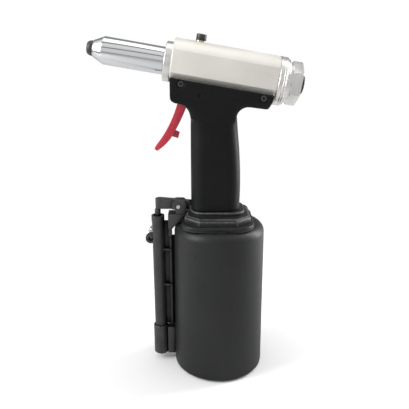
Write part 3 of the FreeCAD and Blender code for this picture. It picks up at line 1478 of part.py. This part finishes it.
def main():
    build_nose()
    build_jaws()
    build_head_piston()
    build_head_casting()
    build_oil_plug()
    build_rear()
    build_handle()
    build_shell_screws()
    build_foot()
    build_trigger()
    build_pull_rod()
    build_rocker()
    build_rocker_bracket()
    build_valve_housing()
    build_valve_works()
    build_manifold()
    build_air_inlet()
    build_air_cylinder()
    build_base()
    build_air_piston()
    build_gland()
    doc.recompute()
    check(doc.Objects)
    os.makedirs("parts", exist_ok=True)
    for label, thing in NODES.items():
        thing.Shape.exportStep(f"parts/{label}.step")


main()
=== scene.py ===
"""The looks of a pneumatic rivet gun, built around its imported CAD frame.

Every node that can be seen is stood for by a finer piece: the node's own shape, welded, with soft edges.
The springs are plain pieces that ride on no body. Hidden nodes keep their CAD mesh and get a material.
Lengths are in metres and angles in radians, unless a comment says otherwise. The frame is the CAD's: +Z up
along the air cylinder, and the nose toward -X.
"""

import json
import math

import bmesh
import bpy
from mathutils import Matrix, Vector

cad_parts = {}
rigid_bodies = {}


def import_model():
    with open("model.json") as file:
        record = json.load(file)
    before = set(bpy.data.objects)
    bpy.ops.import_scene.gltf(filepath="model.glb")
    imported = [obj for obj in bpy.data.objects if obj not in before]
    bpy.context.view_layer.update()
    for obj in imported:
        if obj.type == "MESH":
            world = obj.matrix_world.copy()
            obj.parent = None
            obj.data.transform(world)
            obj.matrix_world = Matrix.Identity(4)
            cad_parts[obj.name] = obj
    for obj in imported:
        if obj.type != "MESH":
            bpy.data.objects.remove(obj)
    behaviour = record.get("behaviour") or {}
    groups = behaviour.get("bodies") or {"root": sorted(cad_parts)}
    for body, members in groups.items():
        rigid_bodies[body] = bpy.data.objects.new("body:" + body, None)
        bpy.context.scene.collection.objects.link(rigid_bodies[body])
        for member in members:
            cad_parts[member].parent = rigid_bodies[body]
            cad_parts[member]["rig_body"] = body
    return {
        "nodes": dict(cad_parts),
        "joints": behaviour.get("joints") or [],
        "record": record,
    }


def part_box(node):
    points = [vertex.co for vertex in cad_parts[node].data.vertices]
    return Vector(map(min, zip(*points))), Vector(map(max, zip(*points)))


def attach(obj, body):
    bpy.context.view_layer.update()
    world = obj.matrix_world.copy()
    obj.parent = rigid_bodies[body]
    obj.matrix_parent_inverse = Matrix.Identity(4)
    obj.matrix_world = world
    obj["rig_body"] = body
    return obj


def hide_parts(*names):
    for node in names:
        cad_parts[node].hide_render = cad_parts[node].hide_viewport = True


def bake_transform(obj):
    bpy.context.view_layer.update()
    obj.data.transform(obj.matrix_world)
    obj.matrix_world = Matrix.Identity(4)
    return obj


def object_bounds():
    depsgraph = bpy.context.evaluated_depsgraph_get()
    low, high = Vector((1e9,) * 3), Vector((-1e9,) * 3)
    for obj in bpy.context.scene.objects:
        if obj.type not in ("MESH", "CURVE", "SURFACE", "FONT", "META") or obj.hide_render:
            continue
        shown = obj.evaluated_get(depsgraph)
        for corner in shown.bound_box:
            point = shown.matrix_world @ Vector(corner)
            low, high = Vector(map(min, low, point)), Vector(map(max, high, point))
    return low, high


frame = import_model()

MM = 0.001
CAD_LOW, CAD_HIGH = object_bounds()
SLOT_OF = {row["node"]: row["material_slot"] for row in frame["record"]["subparts"]}
EDGE_MARK = "edge_wear_and_highlight"


# ---- the head's own axes ----

def head_axis():
    """Unit vector from the nose to the back of the head, read from the head piston's slide."""
    stroke = next(j for j in frame["joints"] if j["name"] == "head_piston_stroke")
    return Vector(stroke["axis"]).normalized()


HEAD_TILT = math.asin(-head_axis().z)


# ---- node trees ----

class Tree:
    """A node tree, with short calls that add and join its nodes."""

    def __init__(self, tree):
        self.tree = tree

    def add(self, kind, inputs=None, **settings):
        """A new node: inputs are values or sockets by name or number, settings are its properties."""
        node = self.tree.nodes.new(kind)
        for key, value in settings.items():
            setattr(node, key, value)
        for key, value in (inputs or {}).items():
            self.put(node.inputs[key], value)
        return node

    def put(self, socket, value):
        """Joins a socket to another one, or gives it a value."""
        if isinstance(value, bpy.types.NodeSocket):
            self.tree.links.new(value, socket)
        else:
            socket.default_value = value

    def maths(self, operation, a, b):
        """What an operation makes of two values."""
        return self.add("ShaderNodeMath", {0: a, 1: b}, operation=operation).outputs[0]


class Paint(Tree):
    """A material and its node tree. Sizes are in metres."""

    def __init__(self, name):
        self.material = bpy.data.materials.new(name)
        self.material.use_nodes = True
        super().__init__(self.material.node_tree)
        self.surface = next(n for n in self.tree.nodes if n.type == "BSDF_PRINCIPLED")
        self.place = self.add("ShaderNodeTexCoord").outputs["Object"]

    def set(self, **inputs):
        """Sets the surface's inputs, written with _ for each space."""
        for key, value in inputs.items():
            self.put(self.surface.inputs[key.replace("_", " ")], value)

    def along_head(self, lengthwise, across):
        """Place in the head's axes, times lengthwise along the head and times across in the other two.

        A pattern in it runs round the head if lengthwise is much larger, and along it if across is.
        """
        turned = self.add("ShaderNodeMapping", {
            "Vector": self.place,
            "Rotation": (0, -HEAD_TILT, 0),
        }, vector_type="POINT")
        scaled = self.add("ShaderNodeMapping", {
            "Vector": turned.outputs["Vector"],
            "Scale": (lengthwise, across, across),
        })
        return scaled.outputs["Vector"]

    def stretched(self, x, y, z):
        """Place times x, y and z."""
        scaled = self.add("ShaderNodeMapping", {"Vector": self.place, "Scale": (x, y, z)})
        return scaled.outputs["Vector"]

    def noise(self, size, detail=2.0, rough=0.5, place=None):
        """Noise from 0 to 1 whose features are about size metres across, or size in a stretched place."""
        node = self.add("ShaderNodeTexNoise", {
            "Vector": place or self.place,
            "Scale": 1 / size,
            "Detail": detail,
            "Roughness": rough,
        })
        return node.outputs["Fac"]

    def spread(self, value, low, high, start=0.3, end=0.7):
        """Maps start..end of value to low..high."""
        node = self.add("ShaderNodeMapRange", {
            "Value": value,
            "From Min": start,
            "From Max": end,
            "To Min": low,
            "To Max": high,
        })
        return node.outputs["Result"]

    def mix(self, share, a, b):
        """A colour from a at share 0 to b at share 1."""
        return self.add("ShaderNodeMix", {"Factor": share, 6: a, 7: b}, data_type="RGBA").outputs[2]

    def blend(self, share, a, b):
        """A value from a at share 0 to b at share 1."""
        return self.add("ShaderNodeMix", {"Factor": share, 2: a, 3: b}, data_type="FLOAT").outputs[0]

    def relief(self, height, depth, under=None):
        """Bump of depth metres, on top of another bump if one is given."""
        inputs = {"Height": height, "Distance": depth, "Strength": 1.0}
        if under:
            inputs["Normal"] = under
        return self.add("ShaderNodeBump", inputs).outputs["Normal"]

    def worn(self, patch=2.5 * MM, start=0.42, end=0.62):
        """1 in patches along the bevelled edges: where an edge has lost its finish, and where some materials
        paint a highlight.
        """
        edge = self.add("ShaderNodeAttribute", attribute_name=EDGE_MARK).outputs["Fac"]
        patches = self.spread(self.noise(patch, detail=3.0), 0.0, 1.0, start, end)
        return self.maths("MULTIPLY", edge, patches)


def grey(level):
    return (level, level, level, 1)


def tinted(red, green, blue):
    return (red, green, blue, 1)


# ---- colours, in linear light ----

ALUMINIUM_DULL = tinted(0.72, 0.695, 0.645)
ALUMINIUM_PALE = tinted(0.77, 0.75, 0.705)
TURNED_DULL = tinted(0.66, 0.65, 0.63)
TURNED_PALE = tinted(0.78, 0.77, 0.75)
CHROME = tinted(0.68, 0.69, 0.70)
COAT_DARK = tinted(0.0085, 0.0090, 0.0096)
COAT_LIGHT = tinted(0.0120, 0.0126, 0.0134)
# Light grey on the coat's bevelled edges: partly rubbed wear, partly a painted highlight.
COAT_WEAR_AND_HIGHLIGHT = tinted(0.10, 0.10, 0.103)
PLASTIC_DARK = tinted(0.0022, 0.0024, 0.0027)
PLASTIC_LIGHT = tinted(0.0040, 0.0043, 0.0046)
# Grey on the plastic's bevelled edges: partly rubbed wear, partly a painted highlight.
PLASTIC_WEAR_AND_HIGHLIGHT = tinted(0.022, 0.022, 0.023)
RED_DARK = tinted(0.44, 0.020, 0.040)
RED_LIGHT = tinted(0.54, 0.028, 0.054)
RED_RUBBED = tinted(0.62, 0.07, 0.10)
OXIDE_DARK = tinted(0.040, 0.040, 0.042)
OXIDE_LIGHT = tinted(0.060, 0.060, 0.062)
# Near black that black_oxide paints into its corners and recesses as shade.
OXIDE_PAINTED_SHADE = grey(0.002)
BARE_STEEL = grey(0.22)
ZINC_DULL = tinted(0.54, 0.54, 0.57)
ZINC_PALE = tinted(0.66, 0.66, 0.68)
BRONZE_DULL = tinted(0.52, 0.42, 0.26)
BRONZE_PALE = tinted(0.66, 0.56, 0.38)
RUBBER_DARK = grey(0.012)
RUBBER_DUSTY = grey(0.030)
FLOOR_DULL = grey(0.90)
FLOOR_PALE = grey(0.92)
FLOOR_REFLECTED = grey(0.62)
WHITE = grey(1.0)


# ---- materials ----

def blasted_aluminium(name):
    """Natural aluminium with a fine blasted grain, faint milling lines and smoother edges."""
    p = Paint(name)
    cloud = p.noise(22 * MM, detail=3.0)
    grain = p.noise(0.35 * MM, detail=3.0, rough=0.6)
    lines = p.noise(1.0, place=p.along_head(60, 2600))
    colour = p.mix(p.spread(cloud, 0, 1), ALUMINIUM_DULL, ALUMINIUM_PALE)
    rough = p.spread(cloud, 0.46, 0.56)
    rough = p.blend(p.worn(start=0.2, end=0.4), rough, 0.30)
    normal = p.relief(grain, 0.012 * MM)
    normal = p.relief(lines, 0.004 * MM, normal)
    p.set(Base_Color=colour, Metallic=0.45, Roughness=rough, Normal=normal)
    return p.material


def turned_aluminium(name):
    """Bright lathe-turned aluminium: fine rings round the head's axis and a few smudges."""
    p = Paint(name)
    rings = p.noise(1.0, place=p.along_head(2600, 1))
    bands = p.noise(1.0, place=p.along_head(700, 3))
    smudge = p.noise(9 * MM, detail=3.0)
    colour = p.mix(p.spread(bands, 0, 1), TURNED_DULL, TURNED_PALE)
    rough = p.spread(smudge, 0.30, 0.38)
    normal = p.relief(rings, 0.0008 * MM)
    p.set(Base_Color=colour, Metallic=1.0, Roughness=rough, Normal=normal)
    return p.material


def hard_chrome(name):
    """Polished chrome with light fingerprints and hair scratches round the barrel."""
    p = Paint(name)
    smudge = p.noise(12 * MM, detail=4.0, rough=0.6)
    scratches = p.noise(1.0, rough=0.6, place=p.along_head(2600, 40))
    rough = p.spread(smudge, 0.045, 0.13, start=0.35, end=0.7)
    normal = p.relief(scratches, 0.0009 * MM)
    p.set(Base_Color=CHROME, Metallic=1.0, Roughness=rough, Normal=normal)
    return p.material


def grey_coat(name):
    """Dark grey hard coat with a fine orange peel, lighter along its edges: partly rubbed wear and partly a
    painted highlight.
    """
    p = Paint(name)
    cloud = p.noise(30 * MM, detail=3.0)
    peel = p.noise(0.55 * MM)
    specks = p.noise(0.18 * MM, detail=1.0)
    colour = p.mix(p.spread(cloud, 0, 1), COAT_DARK, COAT_LIGHT)
    # Lighter along the bevelled edges: partly wear, partly a painted highlight.
    colour = p.mix(p.worn(start=0.25, end=0.65), colour, COAT_WEAR_AND_HIGHLIGHT)
    rough = p.spread(cloud, 0.40, 0.50)
    normal = p.relief(peel, 0.014 * MM)
    normal = p.relief(specks, 0.004 * MM, normal)
    p.set(Base_Color=colour, Metallic=0.0, Roughness=rough, Normal=normal, Specular_IOR_Level=0.34)
    return p.material


def moulded_black(name):
    """Black moulded plastic with a spark-eroded texture and faint flow marks."""
    p = Paint(name)
    cloud = p.noise(26 * MM, detail=3.0)
    texture = p.noise(0.5 * MM, detail=3.0, rough=0.65)
    flow = p.noise(4 * MM)
    colour = p.mix(p.spread(cloud, 0, 1), PLASTIC_DARK, PLASTIC_LIGHT)
    # Lighter along the bevelled edges: partly wear, partly a painted highlight.
    colour = p.mix(p.worn(), colour, PLASTIC_WEAR_AND_HIGHLIGHT)
    rough = p.spread(cloud, 0.42, 0.56)
    normal = p.relief(texture, 0.022 * MM)
    normal = p.relief(flow, 0.010 * MM, normal)
    p.set(Base_Color=colour, Roughness=rough, Normal=normal, Specular_IOR_Level=0.19)
    return p.material


def moulded_red(name):
    """Red moulded plastic with faint flow clouds and a satin skin."""
    p = Paint(name)
    cloud = p.noise(14 * MM, detail=3.0)
    texture = p.noise(0.4 * MM, rough=0.6)
    colour = p.mix(p.spread(cloud, 0, 1), RED_DARK, RED_LIGHT)
    colour = p.mix(p.worn(), colour, RED_RUBBED)
    rough = p.spread(cloud, 0.34, 0.46)
    p.set(Base_Color=colour, Roughness=rough, Normal=p.relief(texture, 0.010 * MM))
    p.set(Subsurface_Weight=0.06, Subsurface_Scale=1.2 * MM, Subsurface_Radius=(1.0, 0.3, 0.2))
    return p.material


def black_oxide(name):
    """Blackened steel with machining marks, worn to bare metal along its edges, with painted shade in its
    corners: darker and less shiny where ambient occlusion finds a recess.
    """
    p = Paint(name)
    cloud = p.noise(8 * MM, detail=4.0)
    marks = p.noise(1.0, rough=0.6, place=p.stretched(300, 300, 2600))
    worn = p.worn(1.5 * MM)
    # Painted shade: ambient occlusion darkens the colour and turns down the shine in corners and recesses.
    open_air = p.add("ShaderNodeAmbientOcclusion", {"Distance": 9 * MM}, samples=8).outputs["AO"]
    colour = p.mix(p.spread(cloud, 0, 1), OXIDE_DARK, OXIDE_LIGHT)
    colour = p.mix(worn, colour, BARE_STEEL)
    colour = p.mix(p.spread(open_air, 0, 1, start=0.35, end=0.85), OXIDE_PAINTED_SHADE, colour)
    rough = p.blend(worn, p.spread(cloud, 0.36, 0.50), 0.28)
    p.set(Base_Color=colour, Metallic=p.blend(worn, 0.45, 1.0), Roughness=rough)
    p.set(Specular_IOR_Level=p.spread(open_air, 0.05, 0.5, start=0.35, end=0.85))
    p.set(Normal=p.relief(marks, 0.006 * MM))
    return p.material


def plain_metal(name, dull, pale, smoothest, roughest):
    """Turned or drawn metal: colour between dull and pale, roughness between smoothest and roughest."""
    p = Paint(name)
    cloud = p.noise(5 * MM, detail=3.0)
    marks = p.noise(1.0, rough=0.6, place=p.stretched(400, 400, 3000))
    p.set(Base_Color=p.mix(p.spread(cloud, 0, 1), dull, pale), Metallic=1.0)
    p.set(Roughness=p.spread(cloud, smoothest, roughest), Normal=p.relief(marks, 0.005 * MM))
    return p.material


def zinc_steel(name):
    return plain_metal(name, ZINC_DULL, ZINC_PALE, 0.18, 0.32)


def ground_steel(name):
    return plain_metal(name, grey(0.24), grey(0.34), 0.22, 0.34)


def spring_wire(name):
    return plain_metal(name, grey(0.30), grey(0.40), 0.26, 0.38)


def turned_bronze(name):
    return plain_metal(name, BRONZE_DULL, BRONZE_PALE, 0.24, 0.38)


def cast_aluminium(name):
    return plain_metal(name, grey(0.48), grey(0.62), 0.38, 0.52)


def seal_rubber(name):
    """Matt black nitrile rubber with a dusty bloom."""
    p = Paint(name)
    bloom = p.noise(3 * MM, detail=4.0)
    grain = p.noise(0.3 * MM)
    p.set(Base_Color=p.mix(p.spread(bloom, 0, 1), RUBBER_DARK, RUBBER_DUSTY))
    p.set(Roughness=p.spread(bloom, 0.6, 0.8), Normal=p.relief(grain, 0.01 * MM))
    return p.material


MATERIAL_OF_SLOT = {
    "bare_aluminium": blasted_aluminium("blasted_aluminium"),
    "chrome_barrel": hard_chrome("hard_chrome"),
    "grey_anodised": grey_coat("grey_coat"),
    "black_plastic": moulded_black("moulded_black"),
    "red_trigger": moulded_red("moulded_red"),
    "black_steel": black_oxide("black_oxide"),
    "bright_steel": zinc_steel("zinc_steel"),
    "tool_steel": ground_steel("ground_steel"),
    "spring_steel": spring_wire("spring_wire"),
    "bronze": turned_bronze("turned_bronze"),
    "cast_aluminium": cast_aluminium("cast_aluminium_turned"),
    "seal_rubber": seal_rubber("seal_rubber_dusty"),
}
TURNED = turned_aluminium("turned_aluminium")
MATERIAL_OF_NODE = {"front_nut": TURNED, "rear_cap": TURNED, "end_cap": TURNED}


def material_for(node):
    return MATERIAL_OF_NODE.get(node, MATERIAL_OF_SLOT[SLOT_OF[node]])


# ---- finer pieces for the nodes that can be seen ----

WELD = 0.002 * MM
FLAT = math.radians(0.3)
SHARP = math.radians(28)

# How wide the rounding of each visible node's sharp edges is, in millimetres.
EDGE_WIDTH = {
    "nosepiece": 0.12,
    "nose_sleeve": 0.15,
    "front_nut": 0.25,
    "head_casting": 0.25,
    "oil_plug_screw": 0.12,
    "oil_plug_washer": 0.08,
    "rear_cap": 0.15,
    "end_cap": 0.25,
    "mandrel_bush": 0.12,
    "shell_screws": 0.10,
    "handle_seat": 0.45,
    "handle_flange": 0.60,
    "cylinder_collar": 0.55,
    "air_cylinder": 0.30,
    "base_cap": 0.20,
    "trigger": 0.30,
    "trigger_pin": 0.10,
    "pull_rod": 0.10,
    "rocker": 0.20,
    "rocker_pin": 0.10,
    "rocker_bracket": 0.25,
    "valve_housing": 0.25,
    "valve_manifold": 0.25,
    "valve_plug": 0.15,
    "valve_top_bush": 0.10,
    "valve_stem": 0.10,
    "air_inlet_nipple": 0.15,
}


def shape_of(node):
    """The node's shape as a bmesh: shared corners welded and flat faces joined."""
    mesh = frame["nodes"][node].data
    shape = bmesh.new()
    corners = [shape.verts.new(v.co) for v in mesh.vertices]
    for polygon in mesh.polygons:
        try:
            shape.faces.new([corners[i] for i in polygon.vertices])
        except ValueError:
            continue  # a face on the same corners is there already
    bmesh.ops.remove_doubles(shape, verts=shape.verts, dist=WELD)
    bmesh.ops.dissolve_limit(shape, angle_limit=FLAT, verts=shape.verts, edges=shape.edges)
    return shape


def mesh_from(shape, name):
    """A mesh made from a bmesh, which is freed."""
    mesh = bpy.data.meshes.new(name)
    shape.to_mesh(mesh)
    shape.free()
    return mesh


def soften(shape, width):
    """Rounds the sharp edges of a bmesh and marks the new strips, so that materials can show wear, and some
    a painted highlight, on them.
    """
    mark = shape.faces.layers.float.new(EDGE_MARK)
    sharp = [e for e in shape.edges if len(e.link_faces) == 2 and e.calc_face_angle() > SHARP]
    made = bmesh.ops.bevel(
        shape, geom=sharp, offset=width, segments=2, profile=0.5, affect="EDGES", clamp_overlap=True,
    )
    for face in made["faces"]:
        face[mark] = 1.0


def stand_in(node, mesh):
    """Puts a mesh in the scene in place of a CAD node and with the same finish. It rides on nothing yet."""
    mesh.materials.clear()
    mesh.materials.append(material_for(node))
    for polygon in mesh.polygons:
        polygon.use_smooth = True
    piece = bpy.data.objects.new(node + "_finished", mesh)
    bpy.context.scene.collection.objects.link(piece)
    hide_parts(node)
    return piece


def ride_as(piece, node):
    """Makes a piece move with a CAD node's body."""
    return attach(piece, frame["nodes"][node]["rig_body"])


def finished(node):
    """A finer piece that stands for a CAD node: welded, with its sharp edges rounded."""
    shape = shape_of(node)
    soften(shape, EDGE_WIDTH[node] * MM)
    mesh = mesh_from(shape, node + "_finished")
    mesh.set_sharp_from_angle(angle=SHARP)
    return ride_as(stand_in(node, mesh), node)


def sprung(node):
    """A plain piece for a spring, welded and with its node's finish. It rides on no body."""
    mesh = mesh_from(shape_of(node), node + "_finished")
    piece = stand_in(node, mesh)
    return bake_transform(piece)


# The flow from saddle to grip lies between two shares of the handle's height, and fades over a third share.
FLOW_LOW = 0.50
FLOW_HIGH = 0.84
FLOW_FADE = 0.08
# How often each smoothing runs: across the width, at the saddle's corners, and over the whole skin.
FLOW_ROUNDS = 600
CORNER_ROUNDS = 90
SKIN_ROUNDS = 4
SMOOTH_FACTOR = 0.5
HANDLE_VOXEL = 0.6 * MM
# Corners near the parting plane, or that face it by more than this, are inside the handle and stay put.
PARTING_MARGIN = 1.5 * MM
INWARD_LIMIT = -0.1


def carrier_of(mesh):
    """An object for a mesh, so that modifiers can change it."""
    carrier = bpy.data.objects.new("carrier", mesh)
    bpy.context.scene.collection.objects.link(carrier)
    return carrier


def changed(carrier):
    """The carrier's mesh after its modifiers. The carrier is removed."""
    depsgraph = bpy.context.evaluated_depsgraph_get()
    mesh = bpy.data.meshes.new_from_object(carrier.evaluated_get(depsgraph))
    bpy.data.objects.remove(carrier)
    return mesh


def remeshed(mesh, voxel):
    """The mesh's skin as even squares of one voxel."""
    carrier = carrier_of(mesh)
    modifier = carrier.modifiers.new("remesh", "REMESH")
    modifier.mode = "VOXEL"
    modifier.voxel_size = voxel
    return changed(carrier)


def smoothed(mesh, rounds, shares=None, sideways_only=False):
    """The mesh smoothed, by each corner's share if shares are given, and across its width only if asked."""
    carrier = carrier_of(mesh)
    modifier = carrier.modifiers.new("smooth", "SMOOTH")
    modifier.factor = SMOOTH_FACTOR
    modifier.iterations = rounds
    modifier.use_x = not sideways_only
    modifier.use_z = not sideways_only
    if shares:
        group = carrier.vertex_groups.new(name="skin")
        for index, share in enumerate(shares):
            if share > 0:
                group.add([index], share, "REPLACE")
        modifier.vertex_group = group.name
    return changed(carrier)


def flow_shares(mesh, low, high):
    """How far each corner takes part in the flow from saddle to grip: 0 outside it, 1 in its middle."""
    shares = []
    for corner in mesh.vertices:
        height = (corner.co.z - low.z) / (high.z - low.z)
        rise = (height - FLOW_LOW) / FLOW_FADE
        fall = (FLOW_HIGH - height) / FLOW_FADE
        outward = corner.normal.y * math.copysign(1.0, corner.co.y)
        outside = abs(corner.co.y) > PARTING_MARGIN and outward > INWARD_LIMIT
        shares.append(max(0.0, min(1.0, rise, fall)) if outside else 0.0)
    return shares


def flowing_handle(node):
    """A handle shell as one moulded skin: the saddle flows into the grip, and no edge is sharp."""
    mesh = remeshed(mesh_from(shape_of(node), node + "_plain"), HANDLE_VOXEL)
    shares = flow_shares(mesh, *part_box(node))
    mesh = smoothed(mesh, CORNER_ROUNDS, shares)
    mesh = smoothed(mesh, FLOW_ROUNDS, shares, sideways_only=True)
    mesh = smoothed(mesh, SKIN_ROUNDS)
    mesh.name = node + "_finished"
    return ride_as(stand_in(node, mesh), node)


def paint_cad_nodes():
    """Gives every CAD node its material, for those that no piece stands for."""
    for node, piece in frame["nodes"].items():
        piece.data.materials.clear()
        piece.data.materials.append(material_for(node))


# ---- studio ----

CENTRE = (CAD_LOW + CAD_HIGH) / 2
FLOOR_RADIUS = 8.0
FLOOR_SIDES = 96
FLOOR_GAP = 0.05 * MM
FLOOR_CLOUDS = 0.4
FLOOR_FADE_START = 0.10
FLOOR_FADE_END = 0.45


def pale_floor():
    """A wide pale floor: soft shadows near the tool, plain white far away, and greyer in reflections."""
    bpy.ops.mesh.primitive_circle_add(vertices=FLOOR_SIDES, radius=FLOOR_RADIUS, fill_type="NGON")
    floor = bpy.context.object
    floor.name = "floor"
    floor.location.z = CAD_LOW.z - FLOOR_GAP
    p = Paint("floor_pale")
    direct = p.add("ShaderNodeLightPath").outputs["Is Camera Ray"]
    cloud = p.noise(FLOOR_CLOUDS, detail=3.0)
    seen = p.mix(p.spread(cloud, 0, 1), FLOOR_DULL, FLOOR_PALE)
    p.set(Base_Color=p.mix(direct, FLOOR_REFLECTED, seen), Roughness=0.8, Specular_IOR_Level=0.1)
    away = p.add("ShaderNodeVectorMath", {0: p.place}, operation="LENGTH").outputs["Value"]
    fade = p.spread(away, 0.0, 1.0, FLOOR_FADE_START, FLOOR_FADE_END)
    white = p.add("ShaderNodeEmission", {"Color": WHITE}).outputs[0]
    blend = p.add("ShaderNodeMixShader", {
        "Fac": p.maths("MULTIPLY", fade, direct),
        1: p.surface.outputs[0],
        2: white,
    })
    output = next(n for n in p.tree.nodes if n.type == "OUTPUT_MATERIAL")
    p.put(output.inputs["Surface"], blend.outputs[0])
    floor.data.materials.append(p.material)


def softbox(name, place, width, height, power):
    """A rectangular light of power watts that looks at the middle of the tool. The camera doesn't see it."""
    light = bpy.data.lights.new(name, "AREA")
    light.shape = "RECTANGLE"
    light.size = width
    light.size_y = height
    light.energy = power
    lamp = bpy.data.objects.new(name, light)
    bpy.context.scene.collection.objects.link(lamp)
    lamp.location = place
    lamp.rotation_euler = (CENTRE - Vector(place)).to_track_quat("-Z", "Y").to_euler()
    lamp.visible_camera = False


# Brightness of the studio's walls and ceiling by height over the side that the camera looks from:
# 0 is level with the camera's side, 0.5 straight up, 1 level with the far side.
WALLS = (
    (0.00, 0.80),
    (0.15, 0.84),
    (0.18, 0.08),
    (0.22, 0.85),
    (0.36, 1.00),
    (0.41, 0.10),
    (0.45, 0.95),
    (0.60, 0.95),
    (0.72, 0.28),
    (1.00, 0.40),
)


def studio_walls():
    """World light: pale walls with dark gaps, which draw the bands on the chrome. The camera sees white."""
    world = bpy.data.worlds.new("studio")
    bpy.context.scene.world = world
    world.use_nodes = True
    world.node_tree.nodes.clear()
    t = Tree(world.node_tree)
    direction = t.add("ShaderNodeTexCoord").outputs["Generated"]
    split = t.add("ShaderNodeSeparateXYZ", {0: direction}).outputs
    toward_camera = t.maths("MULTIPLY", split["Y"], -1)
    angle = t.maths("ARCTAN2", split["Z"], toward_camera)
    ramp = t.add("ShaderNodeValToRGB", {0: t.maths("DIVIDE", angle, math.pi)})
    stops = ramp.color_ramp.elements
    while len(stops) < len(WALLS):
        stops.new(1.0)
    for stop, (place, level) in zip(stops, WALLS):
        stop.position = place
        stop.color = grey(level)
    walls = t.add("ShaderNodeBackground", {"Color": ramp.outputs["Color"]}).outputs[0]
    plain = t.add("ShaderNodeBackground", {"Color": WHITE}).outputs[0]
    direct = t.add("ShaderNodeLightPath").outputs["Is Camera Ray"]
    choose = t.add("ShaderNodeMixShader", {"Fac": direct, 1: walls, 2: plain})
    t.add("ShaderNodeOutputWorld", {"Surface": choose.outputs[0]})


CAMERA_PLACE = (-0.0129, -0.389, 0.272)
CAMERA_DOWN_TILT = math.radians(17)
CAMERA_LENS = 41.0  # in millimetres
CAMERA_NEAREST = 0.01


def camera():
    """The camera stands on the -Y side, nearly as high as the tool's top, and looks slightly down."""
    data = bpy.data.cameras.new("camera")
    data.lens = CAMERA_LENS
    data.clip_start = CAMERA_NEAREST
    viewer = bpy.data.objects.new("camera", data)
    bpy.context.scene.collection.objects.link(viewer)
    viewer.location = CAMERA_PLACE
    viewer.rotation_euler = (math.pi / 2 - CAMERA_DOWN_TILT, 0, 0)
    bpy.context.scene.camera = viewer


def light_studio():
    softbox("key", place=(-0.85, -0.30, 0.60), width=0.4, height=0.8, power=8)
    softbox("rim", place=(0.80, 0.30, 0.40), width=0.3, height=0.9, power=9)
    softbox("top", place=(0.0, 0.1, 1.1), width=0.9, height=0.5, power=1.5)


bpy.context.scene.view_settings.view_transform = "Standard"
paint_cad_nodes()
for visible_node in EDGE_WIDTH:
    finished(visible_node)
for shell in ("handle_shell_left", "handle_shell_right"):
    flowing_handle(shell)
sprung("return_spring")
sprung("jaw_spring")
sprung("valve_spring")
bpy.data.objects["trigger_finished"].visible_glossy = False  # it would draw a red streak on the barrel
pale_floor()
studio_walls()
light_studio()
camera()
